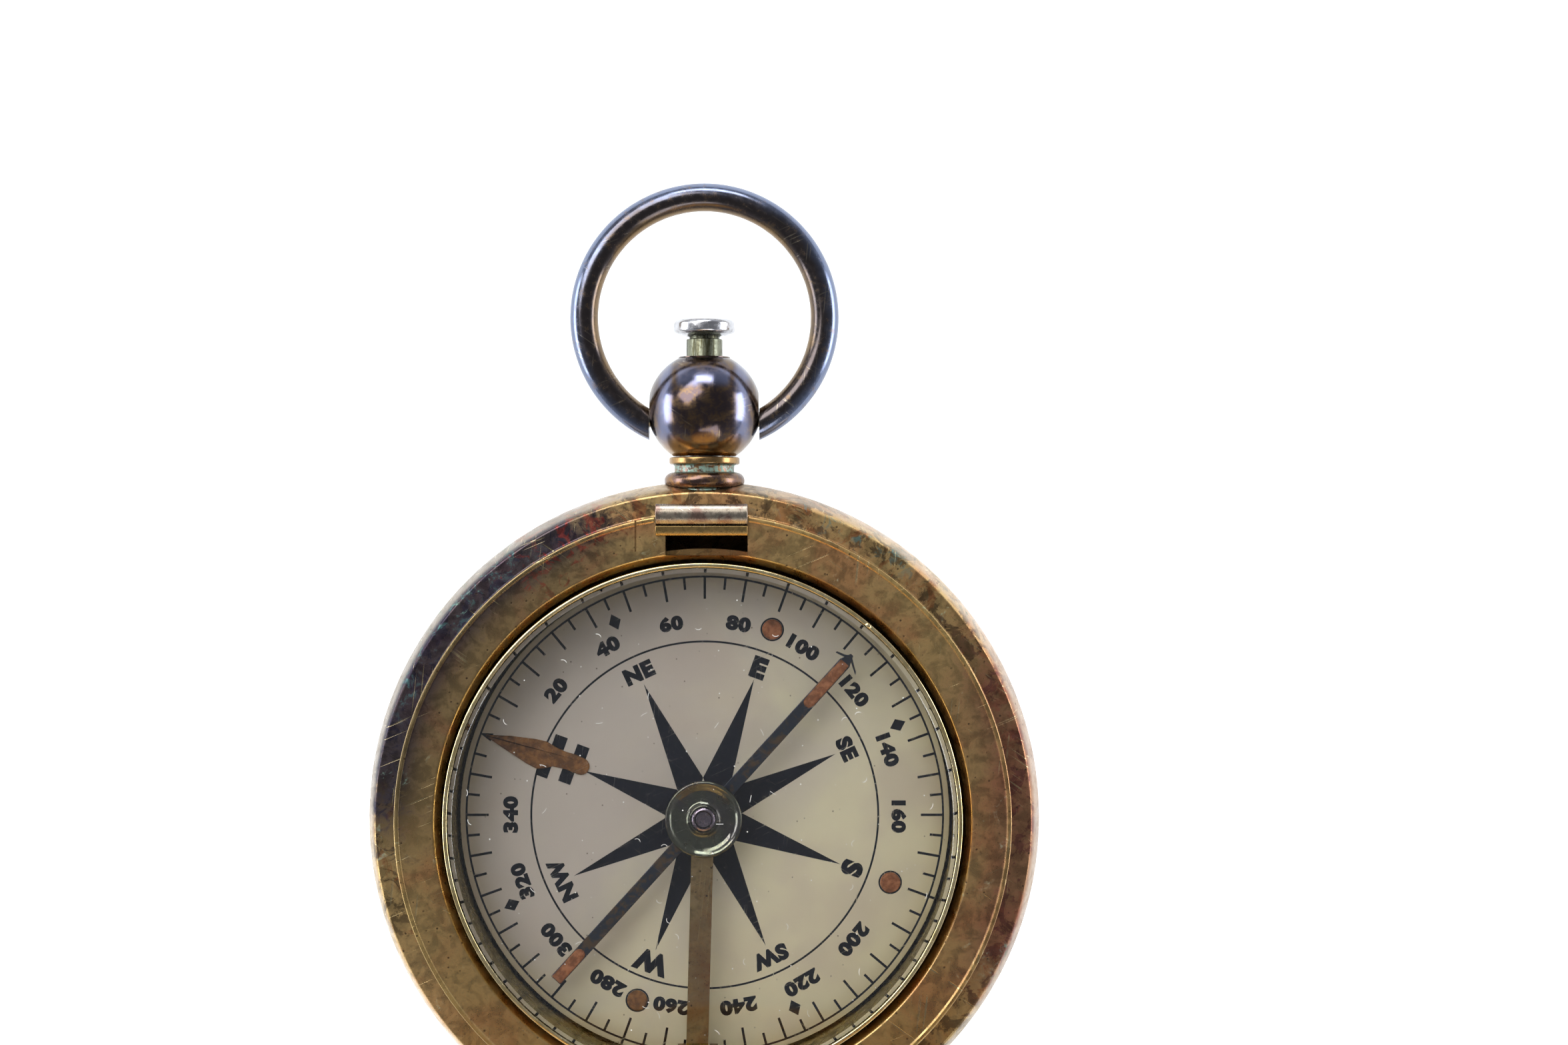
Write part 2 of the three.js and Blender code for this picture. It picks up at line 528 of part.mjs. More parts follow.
const LID_TOP = 15.1;
const LID_SHEET = 0.6;
const LID_EDGE = LID_RIM_TOP + FIT;
function lidShell() {
  const dome = (edge, low, high) => {
    const list = [];
    for (let i = 0; i <= 6; i += 1) {
      const share = i / 6;
      list.push([edge * Math.cos(share * Math.PI / 2), low + (high - low) * Math.sin(share * Math.PI / 2)]);
    }
    list[6][0] = 0;
    return list;
  };
  const outside = dome(LEDGE_RADIUS, LID_EDGE, LID_TOP);
  const inside = dome(LID_RIM_INNER, LID_EDGE, LID_TOP - LID_SHEET);
  return turned([...inside.reverse(), ...outside]);
}
lidNode('lid_rim', lidRim(), brass);
lidNode('lid_shell', lidShell(), brass);

// The lid's presser: a small foot inside the lid that pushes the lifter's stud as the lid shuts.
const STUD_DROP = 0.28;
const presserBottom = STUD_TOP - STUD_DROP + FIT;
lidNode('lid_presser', cut(
  box(LEVER_X - 1.1, LEVER_X + 1.1, -23.9, -20.9, presserBottom, 12.1),
  turnedRing([[26, 9], [26, 13], [LID_RIM_INNER - FIT, 13], [LID_RIM_INNER - FIT, 9]]),
), brass);

const pinBore = crosswise(HINGE_PIN + FIT, -9, 9, HINGE_Y, HINGE_Z);
const barrel = (x0, x1) => crosswise(KNUCKLE_RADIUS, x0, x1, HINGE_Y, HINGE_Z);
const lidCylinder = turned([[0, 8], [LEDGE_RADIUS + FIT, 8], [LEDGE_RADIUS + FIT, 13], [0, 13]]);
const lidLeaf = box(-LID_BARREL, LID_BARREL, HINGE_Y, -24.5, HINGE_Z + 0.15, HINGE_Z + 0.95);
lidNode('lid_knuckle', cut(union(barrel(-LID_BARREL, LID_BARREL), lidLeaf), pinBore, lidCylinder), brass);

for (const [name, x0, x1] of [
  ['hinge_knuckle_left', -BARREL_END, -LID_BARREL - FIT],
  ['hinge_knuckle_right', LID_BARREL + FIT, BARREL_END],
]) {
  const leaf = box(x0, x1, HINGE_Y, -23.5, HINGE_Z - 0.95, HINGE_Z - 0.1);
  node(name, cut(union(barrel(x0, x1), leaf), pinBore, bandCutter(FIT)), brass, compass);
}
node('hinge_pin', crosswise(HINGE_PIN, -BARREL_END, BARREL_END, HINGE_Y, HINGE_Z), steel, compass);

// ---- springs in the hollow band ----
function bandSpring(radius, from, to, z0, z1) {
  const thickness = 0.35;
  const outline = new THREE.Shape();
  outline.absarc(0, 0, radius, degrees(from), degrees(to), false);
  outline.absarc(0, 0, radius - thickness, degrees(to), degrees(from), true);
  return plate(outline, z0, z1);
}

// A screw through the cavity's inner wall into a spring, at an angle counted from +X.
const springScrew = (tip, z, angle) => crosswise(0.5, CAVITY_INNER + 0.1, tip, 0, z).rotateZ(degrees(angle));

node('lid_spring', bandSpring(23.3, 282, 345, 5.0, 7.6), steel, compass);
node('lid_spring_screw', springScrew(22.8, 6.3, -20), steel, compass);
node('latch_spring', bandSpring(22.3, 100, 150, 4.8, 6.8), steel, compass);
node('latch_spring_screw', springScrew(21.85, 5.8, 145), steel, compass);

export default compass;
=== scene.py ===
import math

import bmesh
import bpy
from mathutils import Matrix, Vector

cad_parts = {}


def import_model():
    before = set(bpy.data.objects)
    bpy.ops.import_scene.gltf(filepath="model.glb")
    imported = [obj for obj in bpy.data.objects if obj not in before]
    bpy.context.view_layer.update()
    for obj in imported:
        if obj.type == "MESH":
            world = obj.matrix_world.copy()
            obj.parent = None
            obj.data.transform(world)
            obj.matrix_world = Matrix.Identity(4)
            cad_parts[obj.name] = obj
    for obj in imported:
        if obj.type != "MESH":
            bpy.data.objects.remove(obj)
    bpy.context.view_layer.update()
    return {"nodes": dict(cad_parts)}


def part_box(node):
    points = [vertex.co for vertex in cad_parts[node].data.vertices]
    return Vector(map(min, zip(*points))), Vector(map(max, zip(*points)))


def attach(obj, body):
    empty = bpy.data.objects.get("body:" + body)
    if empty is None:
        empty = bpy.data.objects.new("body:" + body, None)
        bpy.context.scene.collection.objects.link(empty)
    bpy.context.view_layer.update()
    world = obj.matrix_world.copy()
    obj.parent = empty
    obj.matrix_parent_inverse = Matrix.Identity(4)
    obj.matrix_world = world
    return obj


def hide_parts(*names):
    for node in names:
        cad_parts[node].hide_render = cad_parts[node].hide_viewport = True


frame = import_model()

MM = 0.001
ROUND = 192      # facets of a large turned piece
SMALL_ROUND = 64

# ---- sizes in millimetres, from the frame's own boxes ----


def low(node):
    return [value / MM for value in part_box(node)[0]]


def high(node):
    return [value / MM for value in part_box(node)[1]]


def middle(node, axis):
    return (low(node)[axis] + high(node)[axis]) / 2


CASE_R = high("case_ring")[0]
BAND_BOTTOM = low("case_ring")[2]
RING_TOP = high("case_ring")[2]
LEDGE_TOP = RING_TOP - 1.2
LEDGE_R = high("lid_rim")[0]
STEP_R = LEDGE_R - 1.6
RING_INNER = LEDGE_R - 4.6
WELL_R = RING_INNER - 0.5
BEZEL_R = high("crystal_bezel")[0]
BEZEL_TOP = high("crystal_bezel")[2]
BEZEL_FOOT = low("crystal_bezel")[2]
GLASS_R = high("crystal")[0]
GLASS_TOP = high("crystal")[2]
CUP_R = 19.6
CUP_TOP = high("chamber_cup")[2]
DIAL_R = high("dial_card")[0]
DIAL_TOP = high("dial_card")[2]
DIAL_BEARING = -70.0                   # degrees clockwise from +Y
NEEDLE_BEARING = 42.3
NEEDLE_R = 16.95
NEEDLE_BOTTOM = low("needle_bar")[2]
NEEDLE_TOP = high("needle_bar")[2]
CAP_R = high("needle_cap")[0]
CAP_BOTTOM = low("needle_cap")[2]
CAP_TOP = high("needle_cap")[2]
PENDANT_Z = middle("pendant_ball", 2)
BALL_TOP = high("pendant_ball")[1]
BALL_R = 4.39
BALL_Y = 31.49
BALL_FOOT = low("pendant_ball")[1]
BALL_SIDE = high("pendant_ball")[0]
BOW_CENTRE_Y = high("bow_ring")[1] - high("bow_ring")[0]
BUTTON_TOP = high("button_head")[1]
BUTTON_R = high("button_head")[0]
LATCH_GROOVE_Y = low("latch_head")[1] + 0.8
TUBE_R = high("pendant_tube")[0]
HINGE_Y = middle("hinge_pin", 1)
HINGE_Z = middle("hinge_pin", 2)
FIT = 0.05
BAND_FOOT = 25.1
SHARP = 32                             # degrees: a sharper edge than this is shaded as an edge


def band(gap=0.0, steps=12):
    """The band's rounded outside, from its foot up to the ledge, as (radius, height) pairs."""
    bulge = CASE_R - (BAND_FOOT + LEDGE_R) / 2
    points = []
    for i in range(steps + 1):
        t = i / steps
        radius = BAND_FOOT + (LEDGE_R - BAND_FOOT) * t + bulge * (1 - (2 * t - 1) ** 2)
        points.append((radius + gap, BAND_BOTTOM + (LEDGE_TOP - BAND_BOTTOM) * t))
    return points


# ---- meshes ----


def placed(name, data):
    """An object in the scene for some data."""
    thing = bpy.data.objects.new(name, data)
    bpy.context.scene.collection.objects.link(thing)
    return thing


def as_object(name, bm):
    """Turns a bmesh in millimetres into an object in metres."""
    mesh = bpy.data.meshes.new(name)
    bm.to_mesh(mesh)
    bm.free()
    mesh.transform(Matrix.Scale(MM, 4))
    return placed(name, mesh)


def finish_mesh(name, bm, angle=SHARP):
    """The same, with its faces turned outwards and its shading smooth up to an angle in degrees."""
    bmesh.ops.recalc_face_normals(bm, faces=bm.faces)
    piece = as_object(name, bm)
    piece.data.shade_smooth()
    piece.data.set_sharp_from_angle(angle=math.radians(angle))
    return piece


def evaluated(piece):
    """Applies a piece's modifiers."""
    graph = bpy.context.evaluated_depsgraph_get()
    mesh = bpy.data.meshes.new_from_object(piece.evaluated_get(graph))
    piece.modifiers.clear()
    piece.data = mesh
    return piece


def combine(piece, other, operation):
    """Joins another piece to this one or cuts it away, and uses it up."""
    modifier = piece.modifiers.new("combine", "BOOLEAN")
    modifier.operation = operation
    modifier.object = other
    modifier.solver = "EXACT"
    evaluated(piece)
    bpy.data.objects.remove(other)


def carve(piece, *cutters):
    for cutter in cutters:
        combine(piece, cutter, "DIFFERENCE")
    piece.data.shade_smooth()
    piece.data.set_sharp_from_angle(angle=math.radians(SHARP))
    return piece


def soften(piece, width, segments=3, angle=40):
    """Rounds a piece's hard edges by a width in millimetres."""
    modifier = piece.modifiers.new("soften", "BEVEL")
    modifier.width = width * MM
    modifier.segments = segments
    modifier.limit_method = "ANGLE"
    modifier.angle_limit = math.radians(angle)
    modifier.harden_normals = True
    return evaluated(piece)


def eased(outline, radius, steps=4, closed=True):
    """Rounds the corners of an outline, each by no more than its own edges allow."""
    result = []
    count = len(outline)
    for i, corner in enumerate(outline):
        if not closed and i in (0, count - 1):
            result.append(tuple(corner))
            continue
        here = Vector(corner)
        before = Vector(outline[i - 1])
        after = Vector(outline[(i + 1) % count])
        reach = min(radius, (before - here).length * 0.45, (after - here).length * 0.45)
        start = here + (before - here).normalized() * reach
        end = here + (after - here).normalized() * reach
        for k in range(steps + 1):
            t = k / steps
            point = start * (1 - t) ** 2 + here * 2 * t * (1 - t) + end * t ** 2
            result.append((point.x, point.y))
    return result


def turned(name, profile, closed=True, axis="z", segments=ROUND, angle=SHARP):
    """A body turned from (radius, height) pairs, about +Z or about the pendant's axis along +Y."""
    bm = bmesh.new()
    rings = []
    for radius, height in profile:
        count = segments if radius > 1e-6 else 1
        ring = []
        for i in range(count):
            turn = 2 * math.pi * i / segments
            across, up = radius * math.cos(turn), radius * math.sin(turn)
            place = (across, up, height) if axis == "z" else (across, height, PENDANT_Z + up)
            ring.append(bm.verts.new(place))
        rings.append(ring)
    pairs = list(zip(rings, rings[1:]))
    if closed:
        pairs.append((rings[-1], rings[0]))
    for one, two in pairs:
        for i in range(segments):
            k = (i + 1) % segments
            corners = []
            for vert in (one[i % len(one)], one[k % len(one)], two[k % len(two)], two[i % len(two)]):
                if vert not in corners:
                    corners.append(vert)
            if len(corners) > 2:
                bm.faces.new(corners)
    return finish_mesh(name, bm, angle)


def block(name, low_corner, high_corner):
    bm = bmesh.new()
    size = Vector(high_corner) - Vector(low_corner)
    centre = (Vector(high_corner) + Vector(low_corner)) / 2
    place = Matrix.Translation(centre) @ Matrix.Diagonal((*size, 1))
    bmesh.ops.create_cube(bm, size=1, matrix=place)
    return finish_mesh(name, bm)


def rod(name, radius, start, end):
    """A cylinder from one point to another."""
    bm = bmesh.new()
    start, end = Vector(start), Vector(end)
    turn = (end - start).to_track_quat("Z", "Y").to_matrix().to_4x4()
    place = Matrix.Translation((start + end) / 2) @ turn
    bmesh.ops.create_cone(bm, cap_ends=True, segments=SMALL_ROUND, radius1=radius, radius2=radius,
                          depth=(end - start).length, matrix=place)
    return finish_mesh(name, bm)


def walls(bm, one, two):
    """Joins two rings of as many vertices each by a face between every neighbouring pair."""
    for i in range(len(one)):
        k = (i + 1) % len(one)
        bm.faces.new((one[i], one[k], two[k], two[i]))


def prism(name, bottom, top, angle=SHARP):
    """A body between two matching outlines of (x, y, z) points."""
    bm = bmesh.new()
    ends = [[bm.verts.new(point) for point in outline] for outline in (bottom, top)]
    for end in ends:
        bm.faces.new(end)
    walls(bm, *ends)
    return finish_mesh(name, bm, angle)


def plate(name, outline, z0, z1, bearing=0.0):
    """A flat outline of (x, y) points raised from z0 to z1, turned clockwise by a bearing."""
    turn = Matrix.Rotation(math.radians(-bearing), 3, "Z")
    return prism(name, *[[turn @ Vector((x, y, z)) for x, y in outline] for z in (z0, z1)])


def bar(name, outline, x0, x1, angle=SHARP):
    """An outline of (y, z) points drawn out from x0 to x1."""
    return prism(name, *[[(x, y, z) for y, z in outline] for x in (x0, x1)], angle)


def arc(radius, start, end, steps, centre=(0.0, 0.0)):
    """Points on an arc whose angles run clockwise from +Y, in degrees."""
    found = []
    for i in range(steps + 1):
        angle = math.radians(start + (end - start) * i / steps)
        found.append((centre[0] + radius * math.sin(angle), centre[1] + radius * math.cos(angle)))
    return found


def flat_ring(bm, radius, width, z, centre=(0.0, 0.0), segments=ROUND):
    """A printed circle: a flat band of faces."""
    inner = arc(radius - width / 2, 0, 360, segments, centre)[:-1]
    outer = arc(radius + width / 2, 0, 360, segments, centre)[:-1]
    inner_verts = [bm.verts.new((x, y, z)) for x, y in inner]
    outer_verts = [bm.verts.new((x, y, z)) for x, y in outer]
    walls(bm, inner_verts, outer_verts)


def flat_shape(bm, outline, z):
    bm.faces.new([bm.verts.new((x, y, z)) for x, y in outline])


def on_bearing(bearing, points):
    """Turns points drawn towards +Y clockwise by a bearing."""
    angle = math.radians(-bearing)
    cosine, sine = math.cos(angle), math.sin(angle)
    return [(x * cosine - y * sine, x * sine + y * cosine) for x, y in points]


def lettering(text, height, centre_radius, bearing, squeeze, bold):
    """Characters standing on the dial with their tops outwards, as triangles in millimetres."""
    curve = bpy.data.curves.new("lettering", "FONT")
    curve.body = text
    curve.align_x = "CENTER"
    curve.align_y = "CENTER"
    curve.size = 1.0
    curve.space_character = 1.12
    curve.offset = bold
    curve.resolution_u = 4
    holder = placed("lettering", curve)
    graph = bpy.context.evaluated_depsgraph_get()
    graph.update()
    mesh = bpy.data.meshes.new_from_object(holder.evaluated_get(graph))
    ys = [v.co.y for v in mesh.vertices]
    scale = height / (max(ys) - min(ys))
    level = (max(ys) + min(ys)) / 2
    verts = [((v.co.x * squeeze) * scale, (v.co.y - level) * scale + centre_radius) for v in mesh.vertices]
    faces = [tuple(p.vertices) for p in mesh.polygons]
    bpy.data.objects.remove(holder)
    return on_bearing(bearing, verts), faces


# ---- materials ----


def rgb(red, green, blue):
    """A display colour, 0 to 255, as the linear values that shaders take."""
    linear = []
    for value in (red, green, blue):
        value /= 255
        linear.append(value / 12.92 if value <= 0.04045 else ((value + 0.055) / 1.055) ** 2.4)
    return (*linear, 1.0)


class Field:
    """A value that varies over the surface: a shader socket that takes arithmetic."""

    def __init__(self, shade, socket):
        self.shade = shade
        self.socket = socket

    def __add__(self, other):
        return self.shade.math("ADD", self, other)

    def __sub__(self, other):
        return self.shade.math("SUBTRACT", self, other)

    def __mul__(self, other):
        return self.shade.math("MULTIPLY", self, other)

    def __abs__(self):
        return self.shade.math("ABSOLUTE", self, 0.0)

    def most(self, other):
        return self.shade.math("MAXIMUM", self, other)

    def ramp(self, start, end, low_value=0.0, high_value=1.0):
        """A smooth step from one value to another while this one goes from start to end."""
        node = self.shade.node("MapRange", Value=self, From_Min=start, From_Max=end, To_Min=low_value,
                               To_Max=high_value)
        node.interpolation_type = "SMOOTHSTEP"
        return Field(self.shade, node.outputs["Result"])


class Shade:
    """One procedural material, in millimetres of the object's own space."""

    def __init__(self, name, **sockets):
        self.material = bpy.data.materials.new(name)
        self.material.use_nodes = True
        self.nodes = self.material.node_tree.nodes
        self.links = self.material.node_tree.links
        self.shader = self.nodes["Principled BSDF"]
        for socket, value in sockets.items():
            self.shader.inputs[socket.replace("_", " ")].default_value = value
        coordinates = self.nodes.new("ShaderNodeTexCoord")
        place = Field(self, coordinates.outputs["Object"])
        scale = self.node("Mapping", Scale=(1 / MM,) * 3, Vector=place)
        self.place = Field(self, scale.outputs["Vector"])

    def put(self, socket, value):
        if isinstance(value, Field):
            self.links.new(value.socket, socket)
        else:
            socket.default_value = value

    def node(self, kind, **inputs):
        """A new shader node with its inputs filled; an underscore stands for a space in their names."""
        node = self.nodes.new("ShaderNode" + kind)
        for socket, value in inputs.items():
            self.put(node.inputs[socket.replace("_", " ")], value)
        return node

    def stretched(self, scale=(1, 1, 1), turn=0.0, move=(0, 0, 0)):
        """Coordinates turned, moved and stretched, so that a texture's grain has the given lengths."""
        node = self.node("Mapping", Scale=scale, Rotation=(0, 0, math.radians(turn)), Location=move,
                         Vector=self.place)
        node.vector_type = "TEXTURE"
        return Field(self, node.outputs["Vector"])

    def noise(self, scale, detail=4.0, rough=0.55, warp=0.0, vector=None):
        node = self.node("TexNoise", Scale=scale, Detail=detail, Roughness=rough, Distortion=warp,
                         Vector=vector or self.place)
        return Field(self, node.outputs["Fac"])

    def cells(self, scale):
        return Field(self, self.node("TexVoronoi", Scale=scale, Vector=self.place).outputs["Distance"])

    def math(self, operation, one, two):
        node = self.nodes.new("ShaderNodeMath")
        node.operation = operation
        self.put(node.inputs[0], one)
        self.put(node.inputs[1], two)
        return Field(self, node.outputs["Value"])

    def mix(self, share, one, two):
        node = self.nodes.new("ShaderNodeMix")
        node.data_type = "RGBA"
        for index, value in ((0, share), (6, one), (7, two)):
            self.put(node.inputs[index], value)
        return Field(self, node.outputs[2])

    def coat(self, share, colour):
        """Lays a colour over the material's own, by a share from 0 to 1."""
        self.tone = self.mix(share, self.tone, colour)

    def axes(self):
        return [Field(self, part) for part in self.node("SeparateXYZ", Vector=self.place).outputs]

    def polar(self, centre_y=0.0):
        """Radius in millimetres and bearing in degrees clockwise from +Y, about a point on x = 0."""
        x, y, _ = self.axes()
        y = y - centre_y
        radius = self.math("SQRT", x * x + y * y, 0.0)
        return radius, self.math("ARCTAN2", x, y) * (180 / math.pi)

    def scratches(self, count=3, fine=1.0):
        """Thin straight lines at several angles, broken up by a broad noise."""
        total = None
        for i in range(count):
            vector = self.stretched((7.0 / fine, 0.16 / fine, 1.0), 23 + 61 * i, (7.1 * i, 3.3 * i, 0))
            line = self.noise(1.0, 1.0, 0.5, 0.1, vector).ramp(0.68, 0.74)
            broad = self.noise(0.22 + 0.07 * i, 2.0, 0.5, 0.0, self.stretched(move=(11 * i, 5, 2)))
            mark = line * broad.ramp(0.5, 0.6)
            total = total.most(mark) if total else mark
        return total

    def colour(self, value):
        self.put(self.shader.inputs["Base Color"], value)

    def roughness(self, value):
        self.put(self.shader.inputs["Roughness"], value)

    def finished(self, roughness, height, strength, distance):
        """The material, with the colour laid so far and a bump whose depth is in millimetres."""
        self.colour(self.tone)
        self.roughness(roughness)
        bump = self.node("Bump", Strength=strength, Distance=distance * MM, Height=height)
        self.put(self.shader.inputs["Normal"], Field(self, bump.outputs["Normal"]))
        return self.material


OLIVE = rgb(180, 151, 102)
COPPER = rgb(178, 122, 84)
GOLD = rgb(188, 162, 98)
BRIGHT = rgb(214, 196, 150)
NIGHT = rgb(42, 42, 58)
PLUM = rgb(112, 62, 62)
VERDIGRIS = rgb(128, 168, 154)
DARK = rgb(58, 48, 38)


def sector(shade, bearing, start, end, soft=9.0):
    """One inside a range of bearings and nothing outside, with soft ends."""
    rising = bearing.ramp(start - soft, start + soft)
    falling = bearing.ramp(end - soft, end + soft, 1.0, 0.0)
    return rising * falling


def add_tarnish(shade, mottle):
    """The case ring's sector marks: stains, crusts, a dark left side, a rub with painted highlight; painted
    reflection on the band.
    """
    radius, bearing = shade.polar()
    wander = (mottle - 0.5) * 26.0
    soft = bearing + wander
    outer = radius.ramp(STEP_R - 2.6, STEP_R + 0.1, 0.35, 1.0)
    streak = shade.noise(0.8, 4.0, 0.6, 1.2).ramp(0.52, 0.62)
    ledge = radius.ramp(STEP_R - 0.1, STEP_R + 0.1)
    blotch = ledge * shade.noise(0.55, 6.0, 0.7, 0.8).ramp(0.50, 0.56)
    shade.coat(blotch * 0.65, rgb(38, 32, 34))
    rust = ledge * shade.noise(0.42, 5.0, 0.7, 0.9).ramp(0.54, 0.60)
    shade.coat(rust * 0.5, rgb(150, 92, 54))
    # A rubbed patch on the ledge's lower left, laid bright as a painted highlight.
    rubbed = ledge * sector(shade, soft, -146, -112)
    shade.coat(rubbed * 0.6, rgb(196, 162, 112))
    # Plum on the right, dark brown at the lower right, and near-black blue across the left and upper left.
    for start, end, colour, share in ((60, 122, PLUM, 0.6), (128, 168, DARK, 0.4), (-92, -18, NIGHT, 0.92)):
        sector_tone = sector(shade, soft, start, end) * outer
        shade.coat(sector_tone * share, colour)
    red = sector(shade, soft, -36, -14, 4.0) * streak
    shade.coat(red * 0.6, rgb(132, 52, 44))
    crusted = sector(shade, soft, -66, -32).most(sector(shade, soft, 14, 44))
    crust = crusted * radius.ramp(STEP_R - 0.6, LEDGE_R) * shade.noise(0.9, 6.0, 0.75, 0.8).ramp(0.54, 0.62)
    shade.coat(crust * 0.6, rgb(84, 124, 122))
    ridge = radius.ramp(STEP_R - 0.42, STEP_R - 0.3) * radius.ramp(STEP_R - 0.06, STEP_R + 0.02, 1.0, 0.0)
    shade.coat(ridge * 0.3, GOLD)
    # Painted reflection: the band's outside is laid pale, as the white table round it reflects.
    side = radius.ramp(LEDGE_R + 0.1, LEDGE_R + 0.4)
    shade.coat(side * 0.5, rgb(182, 168, 150))


def aged_brass(name, base=OLIVE, warm=COPPER, patches=0.6, pits=0.8, tarnish=False, green=0.25, rough=0.34,
               worn=0.45):
    """Handled brass: copper-coloured patches, dark pits, scratches, tarnish and a little verdigris."""
    shade = Shade(name, Metallic=1.0)
    broad = shade.noise(0.16, 5.0, 0.6, 0.6)
    mottle = shade.noise(0.9, 6.0, 0.65, 0.4)
    fine = shade.noise(7.0, 4.0, 0.6)
    shade.tone = shade.mix(broad.ramp(0.42, 0.66, 0.0, patches), base, warm)
    shade.coat(mottle.ramp(0.50, 0.72, 0.0, 0.5), DARK)
    shade.coat(fine.ramp(0.55, 0.75, 0.0, 0.25), GOLD)
    if tarnish:
        add_tarnish(shade, mottle)
    spots = shade.cells(1.5).ramp(0.17, 0.08) * mottle.ramp(0.42, 0.56)
    specks = shade.cells(4.5).ramp(0.22, 0.12) * broad.ramp(0.40, 0.56)
    spots = spots.most(specks * 0.6)
    shade.coat(spots * pits, DARK)
    bloom = shade.noise(0.35, 5.0, 0.7, 1.0).ramp(0.60, 0.70) * shade.noise(3.0, 4.0, 0.7).ramp(0.42, 0.60)
    shade.coat(bloom * green, VERDIGRIS)
    marks = shade.scratches()
    shade.coat(marks * worn, BRIGHT)
    dull = mottle.ramp(0.35, 0.7, rough - 0.08, rough + 0.16)
    dull = dull + bloom * 0.3 - marks * 0.12
    height = mottle * 0.5 - (spots + marks)
    return shade.finished(dull, height, 0.3, 0.02)


def collar_brass(name):
    """The pendant's collar: a plum-brown roll, a gold lip and verdigris in the groove between them."""
    shade = Shade(name, Metallic=1.0)
    _, along, _ = shade.axes()
    mottle = shade.noise(1.3, 6.0, 0.65, 0.4)
    crust = shade.noise(3.2, 5.0, 0.7)
    shade.tone = shade.mix(mottle.ramp(0.42, 0.62), rgb(98, 78, 72), rgb(126, 96, 66))
    shade.coat(along.ramp(27.1, 27.25), rgb(146, 116, 76))
    groove = along.ramp(26.4, 26.6) * along.ramp(27.1, 27.3, 1.0, 0.0)
    foot = along.ramp(25.5, 25.25)
    green = groove.most(foot) * crust.ramp(0.42, 0.58)
    shade.coat(green * 0.75, rgb(150, 182, 170))
    return shade.finished(mottle.ramp(0.35, 0.7, 0.2, 0.4) + green * 0.4, mottle + green * crust, 0.3, 0.03)


def worn_nickel(name, base, through, wear, rough, grime_share):
    """Nickel plate rubbed through to brass in places."""
    shade = Shade(name, Metallic=1.0)
    rub = shade.noise(0.5, 6.0, 0.65, 0.5)
    grime = shade.noise(2.2, 5.0, 0.6)
    marks = shade.scratches(3, 1.6)
    shade.tone = shade.mix(rub.ramp(0.48, 0.60, 0.0, wear), base, through)
    shade.coat(grime.ramp(0.58, 0.75, 0.0, grime_share), DARK)
    shade.coat(marks * 0.4, rgb(235, 232, 224))
    return shade.finished(grime.ramp(0.3, 0.75, rough - 0.06, rough + 0.16), grime - marks, 0.15, 0.015)


def latch_nickel(name):
    """The latch's head: pinkish worn nickel on its roll and bare brass on the lip below the groove."""
    shade = Shade(name, Metallic=1.0)
    _, along, _ = shade.axes()
    rub = shade.noise(0.7, 5.0, 0.6, 0.3)
    grime = shade.noise(2.6, 5.0, 0.6)
    marks = shade.scratches(3, 1.5)
    roll = shade.mix(rub.ramp(0.42, 0.62), rgb(154, 144, 130), rgb(126, 104, 94))
    shade.tone = shade.mix(along.ramp(LATCH_GROOVE_Y + 0.02, LATCH_GROOVE_Y - 0.06), roll,
                           rgb(158, 130, 82))
    shade.coat(grime.ramp(0.58, 0.74, 0.0, 0.4), DARK)
    edge = abs(along - LATCH_GROOVE_Y)
    shade.coat(edge.ramp(0.1, 0.04), rgb(40, 32, 26))
    shade.coat(marks * 0.5, rgb(232, 228, 218))
    return shade.finished(grime.ramp(0.3, 0.75, 0.22, 0.4), grime - marks, 0.15, 0.015)


def stem_steel(name):
    """The button's stem: greenish steel with streaks along it and dark specks."""
    shade = Shade(name, Metallic=1.0)
    streaks = shade.noise(1.0, 4.0, 0.6, 0.0, shade.stretched((0.16, 2.2, 0.3)))
    specks = shade.noise(5.0, 4.0, 0.7)
    shade.tone = shade.mix(streaks.ramp(0.4, 0.62), rgb(118, 120, 104), rgb(76, 74, 56))
    shade.coat(specks.ramp(0.58, 0.7, 0.0, 0.7), rgb(58, 52, 42))
    return shade.finished(specks.ramp(0.3, 0.7, 0.26, 0.5), streaks + specks, 0.25, 0.02)


def bow_bronze(name):
    """Almost black bronze: bare along the inside of the wire, with a bluish painted highlight along the
    outside.
    """
    shade = Shade(name, Metallic=1.0)
    radius, _ = shade.polar(BOW_CENTRE_Y)
    broad = shade.noise(0.3, 4.0, 0.6, 0.4)
    mottle = shade.noise(1.6, 6.0, 0.65, 0.3)
    marks = shade.scratches(3, 1.4)
    reach = radius + (broad - 0.5) * 1.2
    warm = rgb(120, 98, 70)
    shade.tone = shade.mix(reach.ramp(8.15, 8.75), warm, rgb(74, 68, 68))
    # Painted highlight: a bluish band along the wire's outside.
    shade.coat(reach.ramp(9.2, 10.1), rgb(104, 112, 134))
    shade.coat(mottle.ramp(0.54, 0.70, 0.0, 0.45), warm)
    shade.coat(marks * 0.4, rgb(170, 160, 140))
    return shade.finished(mottle.ramp(0.35, 0.7, 0.16, 0.3), mottle - marks, 0.12, 0.015)


